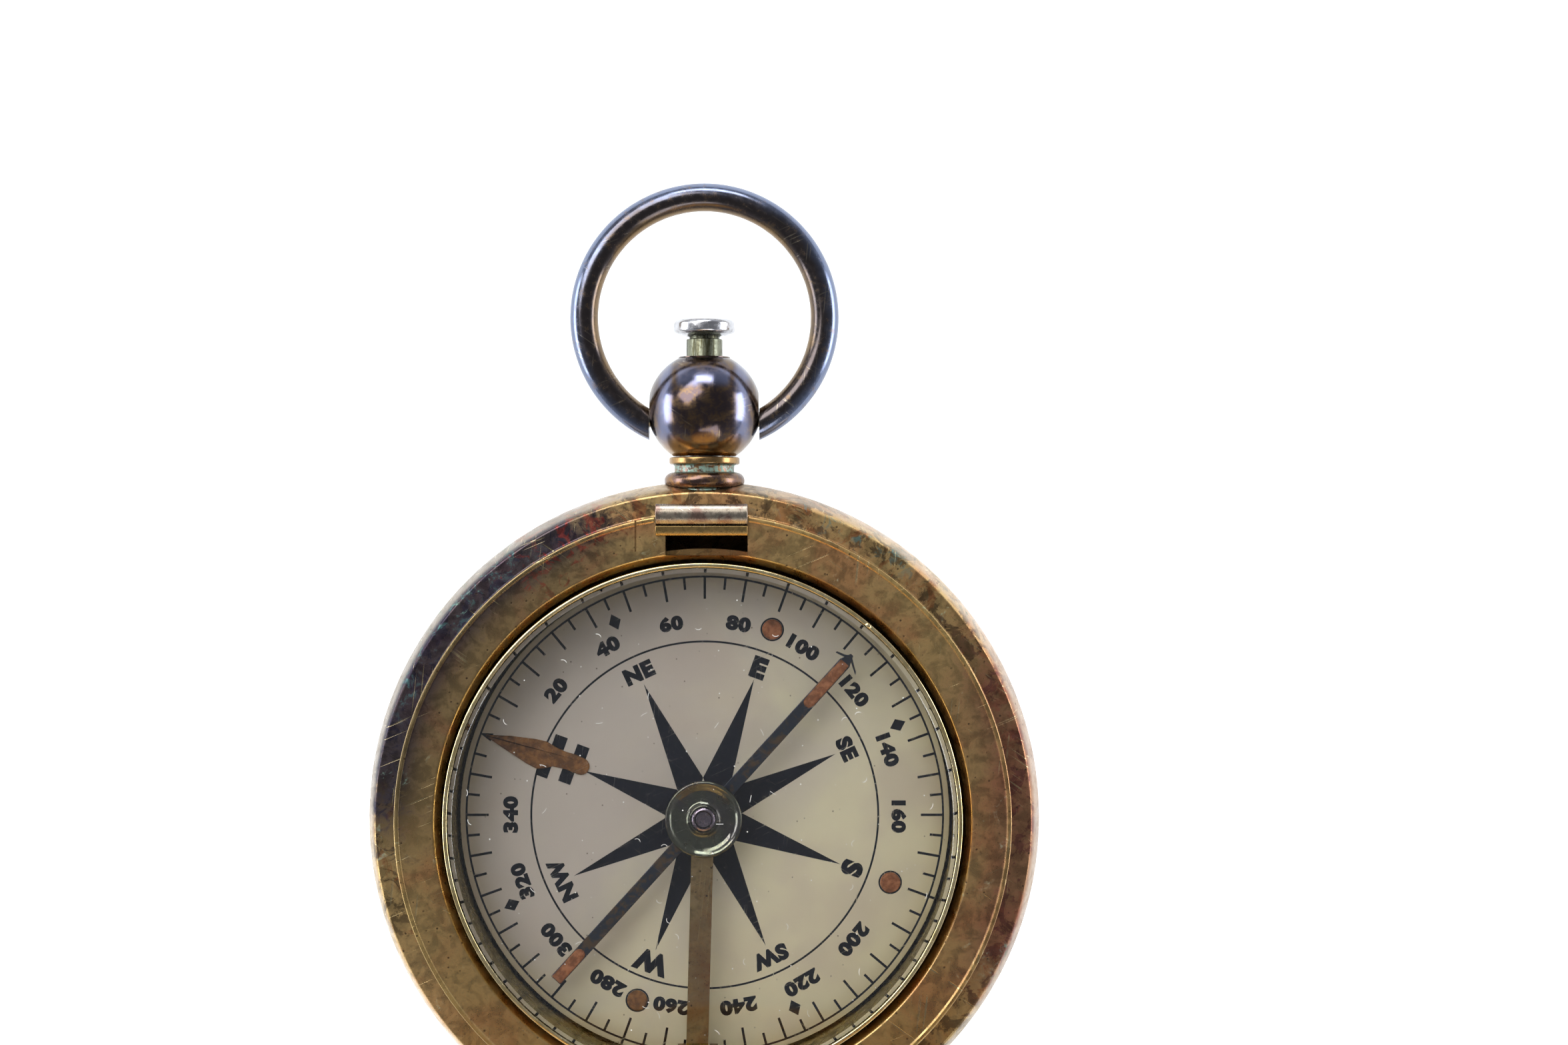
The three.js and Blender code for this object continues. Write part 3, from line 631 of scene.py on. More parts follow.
def ball_bronze(name):
    """The ball: brown bronze, a bluish painted highlight on its flanks and upper part, and a brown waist.
    """
    shade = Shade(name, Metallic=1.0)
    x, y, _ = shade.axes()
    mottle = shade.noise(1.4, 6.0, 0.65, 0.3)
    marks = shade.scratches(3, 1.6)
    rise = y - BALL_Y
    outwards = abs(x)
    # Painted highlight: a bluish tint where the highlights fall, on the flanks and the upper part.
    side_highlights = sector(shade, outwards, 0.56 * BALL_R, 0.78 * BALL_R, 0.3)
    crown_highlight = sector(shade, rise, 0.38 * BALL_R, 0.66 * BALL_R, 0.35)
    crown_highlight = crown_highlight * outwards.ramp(0.4 * BALL_R, 0.5 * BALL_R, 1.0, 0.0)
    film_and_highlight = side_highlights.most(crown_highlight)
    shade.tone = shade.mix(mottle.ramp(0.42, 0.62), rgb(74, 64, 66), rgb(98, 80, 62))
    shade.coat(film_and_highlight * 0.6, rgb(112, 120, 150))
    shade.coat(rise.ramp(-0.45 * BALL_R, -0.75 * BALL_R, 0.0, 0.7), rgb(150, 122, 78))
    shade.coat(marks * 0.4, rgb(170, 160, 140))
    return shade.finished(mottle.ramp(0.35, 0.7, 0.13, 0.26), mottle - marks, 0.1, 0.015)


def plain_steel(name, base=rgb(150, 148, 142), rough=0.32):
    shade = Shade(name, Metallic=1.0)
    grime = shade.noise(1.8, 6.0, 0.6)
    shade.tone = shade.mix(grime.ramp(0.5, 0.7, 0.0, 0.6), base, rgb(92, 82, 66))
    return shade.finished(grime.ramp(0.3, 0.7, rough - 0.06, rough + 0.16), grime, 0.15, 0.01)


def blued_steel(name):
    """The needle: blued, with brown showing along its length."""
    shade = Shade(name, Metallic=0.9)
    rust = shade.noise(0.8, 6.0, 0.7, 0.3)
    shade.tone = shade.mix(rust.ramp(0.46, 0.64), rgb(62, 66, 78), rgb(96, 82, 70))
    return shade.finished(rust.ramp(0.35, 0.7, 0.3, 0.5), rust, 0.2, 0.01)


def old_card(name):
    """The dial: an enamelled card with painted shade, mauve-grey upper left to warm lower right, yellowed
    round its edge.
    """
    shade = Shade(name, Specular_IOR_Level=0.25)
    radius, _ = shade.polar()
    x, y, _ = shade.axes()
    cloud = shade.noise(0.09, 4.0, 0.6, 0.5)
    # Painted shade: darker and mauve-grey towards the upper left, lighter and warmer to the lower right.
    painted_shade_lean = x * 0.035 + y * -0.03
    side = painted_shade_lean + (cloud - 0.5) * 1.6
    shade.tone = shade.mix(side.ramp(-0.45, 0.5), rgb(206, 195, 188), rgb(232, 222, 194))
    shade.coat(shade.noise(0.12, 3.0, 0.5, 0.2).ramp(0.5, 0.72, 0.0, 0.5), rgb(206, 190, 178))
    shade.coat(radius.ramp(17.0, 19.0, 0.0, 0.4), rgb(176, 158, 108))
    flecks = shade.cells(1.1).ramp(0.10, 0.03) * shade.noise(0.5, 2.0).ramp(0.48, 0.56)
    shade.coat(flecks * 0.75, rgb(88, 74, 56))
    return shade.finished(cloud.ramp(0.3, 0.7, 0.5, 0.66), shade.noise(3.0, 4.0), 0.06, 0.02)


def printing_ink(name):
    shade = Shade(name, Specular_IOR_Level=0.1)
    wear = shade.noise(3.4, 4.0, 0.6)
    shade.colour(shade.mix(wear.ramp(0.52, 0.8, 0.0, 0.4), rgb(26, 28, 40), rgb(70, 68, 74)))
    shade.roughness(wear.ramp(0.3, 0.7, 0.5, 0.65))
    return shade.material


def browned_paint(name, base=rgb(180, 116, 82), dark=rgb(126, 80, 54)):
    """Luminous paint gone brown: chalky, cracked and a little lumpy."""
    shade = Shade(name, Specular_IOR_Level=0.2)
    lumps = shade.noise(1.6, 6.0, 0.65, 0.3)
    grain = shade.noise(12.0, 3.0, 0.6)
    shade.tone = shade.mix(lumps.ramp(0.38, 0.64), dark, base)
    shade.coat(grain.ramp(0.56, 0.70, 0.0, 0.35), rgb(96, 62, 42))
    return shade.finished(grain.ramp(0.3, 0.7, 0.7, 0.9), lumps + grain * 0.4, 0.4, 0.05)


def clear_glass(name):
    """The crystal, with faint wipe marks in its polish."""
    shade = Shade(name, Transmission_Weight=1.0, IOR=1.45)
    shade.colour(rgb(252, 253, 250))
    marks = shade.scratches(4, 2.2)
    shade.roughness(marks.ramp(0.2, 0.8, 0.0, 0.22))
    return shade.material


def dust_specks(name):
    shade = Shade(name, Specular_IOR_Level=0.2)
    shade.colour(shade.mix(shade.noise(2.0), rgb(232, 230, 224), rgb(250, 250, 248)))
    shade.roughness(0.9)
    return shade.material


BRASS_RING = aged_brass("ring_brass", tarnish=True, green=0.5)
BRASS = aged_brass("case_brass")
WELL_BRASS = aged_brass("well_brass", base=rgb(150, 134, 74), warm=rgb(118, 98, 54), patches=0.5, pits=0.5,
                        rough=0.28)
COLLAR_BRASS = collar_brass("collar_brass")
LEVER_BRASS = aged_brass("lever_brass", base=rgb(146, 126, 94), warm=rgb(126, 84, 54), patches=0.8,
                         pits=1.0, green=0.0, rough=0.42, worn=0.2)
CAP_BRASS = aged_brass("cap_brass", base=rgb(100, 102, 92), warm=rgb(92, 84, 92), patches=0.9, pits=0.1,
                       green=0.0, rough=0.14, worn=0.1)
NICKEL = worn_nickel("nickel", base=rgb(186, 186, 190), through=rgb(168, 164, 162), wear=0.3, rough=0.2,
                     grime_share=0.3)
LATCH_NICKEL = latch_nickel("latch_nickel")
BEZEL_NICKEL = worn_nickel("bezel_nickel", base=rgb(222, 204, 158), through=rgb(196, 172, 112), wear=0.6,
                           rough=0.16, grime_share=0.2)
BOW_BRONZE = bow_bronze("bow_bronze")
BALL_BRONZE = ball_bronze("ball_bronze")
STEEL = plain_steel("steel")
STEM_STEEL = stem_steel("stem_steel")
BOSS_STEEL = plain_steel("boss_steel", base=rgb(128, 116, 130), rough=0.2)
BLUED = blued_steel("blued")
CARD = old_card("card")
INK = printing_ink("ink")
PAINT = browned_paint("needle_paint")
ARROW_PAINT = browned_paint("arrow_paint", base=rgb(150, 104, 64), dark=rgb(108, 74, 48))
GLASS = clear_glass("glass")
DUST = dust_specks("dust")


def dress(piece, material, body, node=""):
    """Gives a piece its material and body, and hides the CAD node it stands for: NODE_fine stands for NODE.
    """
    piece.data.materials.clear()
    piece.data.materials.append(material)
    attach(piece, body)
    if piece.name.endswith("_fine"):
        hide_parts(node or piece.name.removesuffix("_fine"))
    return piece


def keep(node, material):
    """A CAD node whose own shape is right gets a better material."""
    for place in frame["nodes"][node].material_slots:
        place.material = material


# ---- case ----
SLOT_LEFT, SLOT_RIGHT = -2.84, 3.4
SEAM_X = -5.15
LEVER_X = -0.5
STUD_Y = middle("lifter_stud", 1)


def case_ring():
    bead = 0.09                        # how far the raised ring's outer edge stands up
    cup_side, band_side, pocket_top = 20.7, 24.1, 8.6
    outline = [
        *band(), (STEP_R, LEDGE_TOP),
        (STEP_R, RING_TOP + bead), (STEP_R - 0.3, RING_TOP + bead), (STEP_R - 0.42, RING_TOP),
        (RING_INNER, RING_TOP), (WELL_R, RING_TOP - 0.8), (WELL_R, BAND_BOTTOM),
        (cup_side, BAND_BOTTOM), (cup_side, pocket_top), (band_side, pocket_top), (band_side, BAND_BOTTOM),
    ]
    ring = turned("case_ring_fine", eased(outline, 0.16))
    latch_rest = block("latch_rest", (-3.7, 22.0, RING_TOP), (SLOT_RIGHT + 0.1, 24, 12))
    latch_slot = block("latch_slot", (SLOT_LEFT, 20.2, 7.6), (SLOT_RIGHT, STEP_R - 0.02, 12))
    tube_hole = rod("tube_hole", TUBE_R + FIT, (0, 22, PENDANT_Z), (0, 28, PENDANT_Z))
    lever_slot = block("lever_slot", (LEVER_X - 1.3, -21.2, 4.6), (LEVER_X + 1.3, -19, 7.4))
    stud_bore = rod("stud_bore", 0.75, (LEVER_X, STUD_Y, 8), (LEVER_X, STUD_Y, 11))
    seam = block("seam", (SEAM_X, 20.5, RING_TOP - 0.2), (SEAM_X + 0.14, STEP_R - 0.2, 12))
    carve(ring, seam, latch_rest, latch_slot, tube_hole, lever_slot, stud_bore)
    return dress(ring, BRASS_RING, "case")


def quarter_turns(steps):
    return [math.pi / 2 * i / steps for i in range(steps + 1)]


def case_back():
    rest = 17.0                        # the radius at which it stands on the table
    turns = quarter_turns(14)
    outside = [(rest + (BAND_FOOT - 0.1 - rest) * math.sin(t), 3.25 * (1 - math.cos(t))) for t in turns]
    inside = [(rest + (23.2 - rest) * math.sin(t), 0.8 + 1.8 * (1 - math.cos(t))) for t in turns]
    profile = [(0, 0), *outside, (24.0, 3.25), (24.0, 4.3), (23.5, 4.3), (23.4, 3.2), *reversed(inside),
               (0, 0.8)]
    return dress(turned("case_back_fine", profile, closed=False), BRASS, "case")


def chamber_cup():
    outline = [(0, 1.5), (18.2, 1.5), (19.0, 1.9), (CUP_R, 2.8), (CUP_R, CUP_TOP), (19.15, CUP_TOP),
               (19.15, 2.9), (18.4, 2.2), (0, 2.2)]
    cup = turned("chamber_cup_fine", eased(outline, 0.12, closed=False), closed=False)
    carve(cup, block("cup_slot", (LEVER_X - 1.3, -20.5, 4.6), (LEVER_X + 1.3, -18.5, 7.4)))
    return dress(cup, WELL_BRASS, "case")


def bezel():
    inner = GLASS_R + FIT
    outline = [(BEZEL_R, BEZEL_FOOT), (BEZEL_R, BEZEL_TOP), (inner, BEZEL_TOP), (inner, BEZEL_FOOT)]
    return dress(turned("bezel_fine", eased(outline, 0.13, 4)), BEZEL_NICKEL, "case",
                 "crystal_bezel")


def solder_blob():
    """The lump where the bezel's ends were joined."""
    bm = bmesh.new()
    bmesh.ops.create_icosphere(bm, subdivisions=3, radius=0.16)
    for vert in bm.verts:
        vert.co.x *= 1.7
        vert.co.z *= 0.7
    angle = math.radians(40)
    place = (19.45 * math.sin(angle), 19.45 * math.cos(angle), BEZEL_TOP - 0.02)
    bmesh.ops.transform(bm, matrix=Matrix.Translation(place) @ Matrix.Rotation(-angle, 4, "Z"),
                        verts=bm.verts)
    return dress(finish_mesh("bezel_joint", bm), BEZEL_NICKEL, "case")


DOME_R = 18.9                          # where the crystal's dome meets its flat edge
GLASS_FOOT = 9.65


def crystal():
    steps = 16
    dome = [(DOME_R * (1 - i / steps), BEZEL_TOP + (GLASS_TOP - BEZEL_TOP) * (1 - (1 - i / steps) ** 2))
            for i in range(1, steps)]
    under = [(GLASS_R * i / steps, GLASS_FOOT + 0.4 * (1 - (i / steps) ** 2)) for i in range(1, steps)]
    profile = [(0, 10.05), *under, (GLASS_R, GLASS_FOOT), (GLASS_R, 10.72), (GLASS_R - 0.03, 10.76),
               (18.93, BEZEL_TOP - 0.02), *dome, (0, GLASS_TOP)]
    return dress(turned("crystal_fine", profile, closed=False, angle=20), GLASS, "case")


GOLDEN_ANGLE = 2.39996


def dust():
    """Lint and specks lying on the crystal, placed by a fixed spiral."""
    bm = bmesh.new()
    count = 150
    for i in range(count):
        radius = 18.0 * math.sqrt((i + 0.5) / count)
        turn = GOLDEN_ANGLE * i + 0.4 * math.sin(i * 12.9)
        x, y = radius * math.cos(turn), radius * math.sin(turn)
        z = BEZEL_TOP + (GLASS_TOP - BEZEL_TOP) * (1 - (radius / DOME_R) ** 2) + 0.012
        if i % 4:
            size = 0.026 + 0.034 * abs(math.sin(i * 7.3)) ** 2
            place = Matrix.Translation((x, y, z)) @ Matrix.Diagonal((1, 1, 0.4, 1))
            bmesh.ops.create_icosphere(bm, subdivisions=1, radius=size, matrix=place)
            continue
        heading, bend = i * 3.7, math.sin(i * 5.1) * 0.7
        before = None
        for k in range(7):
            side = Vector((-math.sin(heading), math.cos(heading), 0)) * 0.018
            here = Vector((x, y, z))
            pair = (bm.verts.new(here - side), bm.verts.new(here + side))
            if before:
                bm.faces.new((before[0], pair[0], pair[1], before[1]))
            before = pair
            x += math.cos(heading) * 0.09
            y += math.sin(heading) * 0.09
            heading += bend * 0.5
    return dress(finish_mesh("dust", bm), DUST, "case")


# ---- dial ----
PRINT_Z = DIAL_TOP + 0.006
OUTER_CIRCLE = 18.45
INNER_CIRCLE = 13.45
NUMBER_R = 15.05
LETTER_R = 12.15
STAR_TIP = 11.2
STAR_VALLEY = 2.9
DOT_R = 15.3
TICK = 0.19                            # widths of the printed lines
CIRCLE = 0.15


def dial_card():
    outline = [(DIAL_R, DIAL_TOP - 0.4), (DIAL_R, DIAL_TOP), (1.2, DIAL_TOP), (1.2, DIAL_TOP - 0.4)]
    return dress(turned("dial_card_fine", eased(outline, 0.05, 2)), CARD, "dial")


def dial_print():
    """Everything printed on the card, as flat shapes a hair above it."""
    bm = bmesh.new()
    flat_ring(bm, OUTER_CIRCLE, CIRCLE, PRINT_Z)
    flat_ring(bm, INNER_CIRCLE, CIRCLE, PRINT_Z)
    for bearing in range(0, 360, 5):
        outer = OUTER_CIRCLE + (0.45 if bearing in (90, 180, 270) else 0)
        inner = OUTER_CIRCLE - (0.95 if bearing % 10 else 1.7)
        half = TICK / 2
        if bearing:
            tick = [(-half, inner), (half, inner), (half, outer), (-half, outer)]
            flat_shape(bm, on_bearing(bearing, tick), PRINT_Z)
    half_valley = math.radians(22.5)
    side, depth = STAR_VALLEY * math.sin(half_valley), STAR_VALLEY * math.cos(half_valley)
    for bearing in range(0, 360, 45):
        tip = STAR_TIP if bearing else 9.95
        flat_shape(bm, on_bearing(bearing, [(0, 1.3), (side, depth), (0, tip), (-side, depth)]), PRINT_Z)
    for bearing in (45, 135, 225, 315):
        diamond = [(0, 15.85), (0.5, 16.5), (0, 17.15), (-0.5, 16.5)]
        flat_shape(bm, on_bearing(bearing, diamond), PRINT_Z)
    for bearing in (90, 180, 270):
        centre = on_bearing(bearing, [(0, DOT_R)])[0]
        flat_ring(bm, 0.85, 0.12, PRINT_Z, centre, SMALL_ROUND)
    half = 0.5
    for x, y in ((1.45, 12.5), (1.3, 10.65), (-1.05, 12.95), (-0.9, 11.1)):
        flat_shape(bm, [(x - half, y - half), (x + half, y - half), (x + half, y + half),
                        (x - half, y + half)], PRINT_Z)
    flat_shape(bm, [(-0.4, 10.9), (0.9, 10.7), (0.9, 12.6), (-0.4, 12.8)], PRINT_Z)
    arrow_edge = [(0, OUTER_CIRCLE + 0.1), (0.32, OUTER_CIRCLE - 0.9), (-0.32, OUTER_CIRCLE - 0.9)]
    flat_shape(bm, arrow_edge, PRINT_Z)
    for number in range(20, 360, 20):
        if number != 180:
            add_lettering(bm, str(number), 1.18, NUMBER_R, number, 1.22, 0.07)
    for letters, bearing in (("NE", 45), ("E", 90), ("SE", 135), ("S", 180), ("SW", 225), ("W", 270),
                             ("NW", 315)):
        height = 1.72 if len(letters) == 1 else 1.32
        add_lettering(bm, letters, height, LETTER_R, bearing, 1.08, 0.07)
    turn = Matrix.Rotation(math.radians(-DIAL_BEARING), 4, "Z")
    bmesh.ops.transform(bm, matrix=turn, verts=bm.verts)
    for face in bm.faces:
        face.normal_update()
        if face.normal.z < 0:
            face.normal_flip()
    return dress(as_object("dial_print", bm), INK, "dial")


def add_lettering(bm, text, height, radius, bearing, squeeze, bold):
    points, faces = lettering(text, height, radius, bearing, squeeze, bold)
    verts = [bm.verts.new((x, y, PRINT_Z)) for x, y in points]
    for face in faces:
        bm.faces.new([verts[i] for i in face])


def crowned(name, outline, z, thickness, bearing, inset=0.12):
    """A blob of paint: an outline whose top is drawn in and raised."""
    bm = bmesh.new()
    centre = Vector((sum(x for x, _ in outline), sum(y for _, y in outline))) / len(outline)
    levels = ((0.0, 0.0), (0.0, 0.55), (0.4, 0.85), (1.0, 1.0))
    rings = []
    for share, height in levels:
        ring = []
        for i, (x, y) in enumerate(outline):
            before, after = Vector(outline[i - 1]), Vector(outline[(i + 1) % len(outline)])
            along = (after - before).normalized()
            inwards = Vector((-along.y, along.x))
            if inwards.dot(centre - Vector((x, y))) < 0:
                inwards = -inwards
            point = Vector((x, y)) + inwards * inset * share
            ring.append(bm.verts.new((point.x, point.y, z + thickness * height)))
        rings.append(ring)
    bm.faces.new(rings[0])
    bm.faces.new(rings[-1])
    for one, two in zip(rings, rings[1:]):
        walls(bm, one, two)
    bmesh.ops.transform(bm, matrix=Matrix.Rotation(math.radians(-bearing), 4, "Z"), verts=bm.verts)
    return finish_mesh(name, bm, 60)


def dial_paint():
    foot = DIAL_TOP + 0.02
    outline = [(0.06, OUTER_CIRCLE - 0.45), (0.62, 16.2), (1.06, 14.3), (1.16, 13.4), (0.98, 12.6),
               (0.92, 11.8), (0.98, 11.0), (0.92, 10.3)]
    outline += arc(0.66, 90, 270, 10, (0.26, 10.3))[1:-1]
    outline += [(-0.4, 10.3), (-0.36, 11.4), (-0.5, 12.4), (-0.9, 13.0), (-1.08, 13.5), (-0.96, 14.4),
                (-0.5, 16.3), (-0.06, OUTER_CIRCLE - 0.45)]
    dress(crowned("dial_arrow_fine", outline, foot, 0.14, DIAL_BEARING), ARROW_PAINT, "dial")
    for name, bearing in (("dial_dot_east", 90), ("dial_dot_south", 180), ("dial_dot_west", 270)):
        centre = on_bearing(bearing, [(0, DOT_R)])[0]
        dot = crowned(name + "_fine", arc(0.78, 0, 360, SMALL_ROUND, centre)[:-1], foot, 0.14, DIAL_BEARING)
        dress(dot, ARROW_PAINT if bearing == 270 else PAINT, "dial")


# ---- needle ----


def needle_bar():
    half = 0.49
    eye = 1.9
    side = math.degrees(math.asin(half / eye))
    outline = [(half, NEEDLE_R - 0.9), (0.12, NEEDLE_R - 0.05), (-0.12, NEEDLE_R - 0.05),
               (-half, NEEDLE_R - 0.9)]
    outline += arc(eye, -side, -180 + side, 24)
    outline += [(-half, -NEEDLE_R + 0.03), (half, -NEEDLE_R + 0.03)]
    outline += arc(eye, 180 - side, side, 24)
    needle = plate("needle_bar_fine", outline, NEEDLE_BOTTOM + 0.01, NEEDLE_TOP, NEEDLE_BEARING)
    carve(needle, rod("jewel_hole", 0.67, (0, 0, 6), (0, 0, 8)))
    soften(needle, 0.05, 2)
    return dress(needle, BLUED, "needle")


def needle_tip():
    """The small dark V across the north tip."""
    inner, outer = NEEDLE_R - 0.75, NEEDLE_R - 0.1
    outline = [(0, outer), (0.42, inner + 0.36), (1.16, inner - 0.12), (1.2, inner - 0.28),
               (0.42, inner + 0.16),
               (0, inner + 0.4), (-0.42, inner + 0.16), (-1.08, inner - 0.02), (-1.06, inner + 0.14),
               (-0.42, inner + 0.36)]
    tip = plate("needle_tip", outline, NEEDLE_TOP + 0.005, NEEDLE_TOP + 0.1, NEEDLE_BEARING)
    return dress(soften(tip, 0.03, 2), BLUED, "needle")


def needle_paint():
    half = 0.43
    foot = NEEDLE_TOP + 0.01
    north = [(half, 12.0), (half, 14.0), (half - 0.04, 16.1), (-half + 0.04, 16.1), (-half, 14.0),
             (-half, 12.0)]
    north += arc(half, -90, -270, 8, (0, 12.0))[1:-1]
    dress(crowned("needle_paint_north_fine", north, foot, 0.13, NEEDLE_BEARING, 0.1), PAINT, "needle")
    south = [(half, 14.2), (half, 15.5), (half, 16.85), (-half, 16.85), (-half, 15.5), (-half, 14.2)]
    south += arc(half, -90, -270, 8, (0, 14.2))[1:-1]
    dress(crowned("needle_paint_south_fine", south, foot, 0.13, NEEDLE_BEARING + 180, 0.1), PAINT, "needle")


def needle_cap():
    """The turned cap: a polished dish round a small raised boss."""
    rim = [(2.2, CAP_BOTTOM), (CAP_R - 0.1, CAP_BOTTOM + 0.06), (CAP_R, CAP_BOTTOM + 0.2),
           (CAP_R, CAP_TOP - 0.1),
           (CAP_R - 0.1, CAP_TOP), (2.74, CAP_TOP), (2.62, CAP_TOP - 0.06), (2.44, CAP_TOP - 0.2),
           (2.2, CAP_TOP - 0.29), (1.7, CAP_TOP - 0.33), (1.35, CAP_TOP - 0.3), (1.16, CAP_TOP - 0.16),
           (1.06, CAP_TOP - 0.02), (0.96, CAP_TOP - 0.02), (0.95, CAP_BOTTOM)]
    dress(turned("needle_cap_fine", eased(rim, 0.06, 3), segments=ROUND // 2), CAP_BRASS, "needle")
    boss = [(0.9, CAP_BOTTOM), (0.9, CAP_TOP), (0.74, CAP_TOP + 0.1), (0.68, CAP_TOP + 0.1),
            (0.67, CAP_BOTTOM)]
    dress(turned("needle_boss_fine", eased(boss, 0.04, 3), segments=SMALL_ROUND), BOSS_STEEL, "needle")
    top = high("needle_jewel")[2]
    jewel = [(0.5, low("needle_jewel")[2]), (0.62, 7.05), (0.62, top - 0.04), (0.58, top),
             (0.3, top - 0.02), (0, top - 0.1), (0, 7.85), (0.45, 7.3)]
    dress(turned("needle_jewel_fine", jewel, segments=SMALL_ROUND), BOSS_STEEL, "needle_bearing")


# ---- lifter ----


def lifter_arm():
    half = 0.84
    bottom, top = 7.1, 7.4
    bend, pivot_y, pivot_z = -17.2, -18.3, 6.3
    eye_ring = turned("lifter_arm_fine", eased([(1.6, bottom), (2.75, bottom), (2.75, top), (1.6, top)],
                                               0.06, 2),
                      segments=SMALL_ROUND)
    outline = [(LEVER_X - half, bend - 0.02), (LEVER_X + half, bend - 0.02), (half - 0.1, -2.2),
               (-half - 0.1, -2.2)]
    blade = plate("blade", outline, bottom, top)
    outline = [(bend + 0.1, bottom), (bend + 0.1, top), (bend, top), (pivot_y + 0.1, pivot_z + 0.5),
               (-22.2, pivot_z + 0.25), (-22.2, pivot_z - 0.1), (pivot_y + 0.2, pivot_z - 0.1)]
    heel = bar("heel", outline, LEVER_X - half, LEVER_X + half)
    barrel = rod("barrel", 0.62, (LEVER_X - half, pivot_y, pivot_z), (LEVER_X + half, pivot_y, pivot_z))
    for other in (blade, heel, barrel):
        combine(eye_ring, other, "UNION")
    carve(eye_ring, rod("pin_hole", 0.35, (LEVER_X - 2, pivot_y, pivot_z), (LEVER_X + 2, pivot_y, pivot_z)))
    soften(eye_ring, 0.05, 2)
    return dress(eye_ring, LEVER_BRASS, "lifter")


def lifter_stud():
    foot, top = low("lifter_stud")[2], high("lifter_stud")[2]
    stud = [(0, foot + 0.02), (0.35, foot + 0.02), (1.1, foot + 0.2), (1.1, foot + 0.5), (0.7, foot + 0.5),
            (0.7, top - 0.02), (0, top)]
    piece = turned("lifter_stud_fine", eased(stud, 0.1, 4, closed=False), closed=False,
                   segments=SMALL_ROUND)
    piece.data.transform(Matrix.Translation((LEVER_X * MM, STUD_Y * MM, 0)))
    return dress(piece, STEEL, "stud")


# ---- pendant, button and bow ----


def band_cutter():
    """The band's outside, for cutting what seats against it."""
    side = [(BAND_FOOT + FIT, 2), *band(FIT), (LEDGE_R + FIT, 11)]
    return turned("band_cutter", [(0, 2), *side, (0, 11)], closed=False)


def pendant():
    bore = TUBE_R + FIT
    top = BALL_FOOT - FIT
    roll = [(2.48 + 0.62 * math.cos(t), 25.92 + 0.62 * math.sin(t)) for t in
            [math.radians(-78 + 156 * i / 16) for i in range(17)]]
    lip = eased([(2.3, 26.6), (2.3, top - 0.62), (2.72, top - 0.55), (2.72, top - 0.02),
                 (bore, top - 0.02)],
                0.14, 4, closed=False)
    collar = [(bore, 24.5), (2.8, 24.5), (2.75, 25.27), *roll, *lip]
    neck = turned("pendant_collar_fine", collar, axis="y", segments=SMALL_ROUND * 2)
    carve(neck, band_cutter())
    dress(neck, COLLAR_BRASS, "case")
    foot, flat = BALL_FOOT, BALL_TOP
    start, end = math.asin((foot - BALL_Y) / BALL_R), math.asin((flat - BALL_Y) / BALL_R)
    steps = 36
    turns = [start + (end - start) * i / steps for i in range(steps + 1)]
    side = [(BALL_R * math.cos(t), BALL_Y + BALL_R * math.sin(t)) for t in turns]
    ball = turned("pendant_ball_fine", [(bore, foot), *side, (bore, flat)], axis="y",
                  segments=SMALL_ROUND * 2)
    pivot_y = middle("bow_pivot_left", 1)
    cutters = []
    for side_sign in (-1, 1):
        near, far = sorted((side_sign * BALL_SIDE, side_sign * 6))
        cutters.append(block("flat", (near, 27, PENDANT_Z - 4), (far, 35, PENDANT_Z + 4)))
        cutters.append(rod("pivot_hole", 0.65, (side_sign * 2.7, pivot_y, PENDANT_Z),
                           (side_sign * 6, pivot_y, PENDANT_Z)))
    carve(ball, *cutters)
    dress(ball, BALL_BRONZE, "case")
    tube_end = BALL_TOP - 0.2
    tube = [(1.45, 23.8), (TUBE_R, 23.8), (TUBE_R, tube_end), (1.45, tube_end)]
    tube = turned("pendant_tube_fine", eased(tube, 0.06, 2), axis="y", segments=SMALL_ROUND)
    dress(tube, STEEL, "case")


def button():
    face = eased([(1.2, BUTTON_TOP - 1.42), (BUTTON_R - 0.3, BUTTON_TOP - 1.2),
                  (BUTTON_R, BUTTON_TOP - 1.02),
                  (BUTTON_R, BUTTON_TOP - 0.34), (BUTTON_R - 0.22, BUTTON_TOP - 0.1),
                  (1.0, BUTTON_TOP - 0.01)],
                 0.2, 5, closed=False)
    head = [*face, (0, BUTTON_TOP), (0, BUTTON_TOP - 0.7), (1.2, BUTTON_TOP - 0.7)]
    piece = turned("button_head_fine", head, axis="y", segments=SMALL_ROUND * 2)
    dress(piece, NICKEL, "button")
    neck = BUTTON_TOP - 1.6
    stem = [(0, 23.55), (1.0, 23.55), (1.4, 23.9), (1.4, neck), (1.15, neck + 0.05), (1.15, neck + 0.85),
            (0, neck + 0.85)]
    piece = turned("button_stem_fine", eased(stem, 0.06, 2, closed=False), closed=False, axis="y",
                   segments=SMALL_ROUND)
    dress(piece, STEM_STEEL, "button")


def latch_head():
    """The rolled head of the latch, its ends rubbed round."""
    foot = low("latch_head")[2]
    inner, outer = low("latch_head")[1], high("latch_head")[1]
    steps = 16
    outline = [(outer, foot), (outer, foot + 0.22)]
    for i in range(1, steps):
        t = i / steps
        y = outer + (LATCH_GROOVE_Y - outer) * t
        outline.append((y, foot + 0.3 + 0.4 * math.sin(math.pi * t) ** 0.7))
    outline += [(LATCH_GROOVE_Y, foot + 0.24), (LATCH_GROOVE_Y - 0.06, foot + 0.38),
                (inner + 0.2, foot + 0.36), (inner, foot + 0.2), (inner, foot)]
    head = bar("latch_head_fine", outline, low("latch_head")[0], high("latch_head")[0], 40)
    soften(head, 0.12, 4, 50)
    return dress(head, LATCH_NICKEL, "latch")


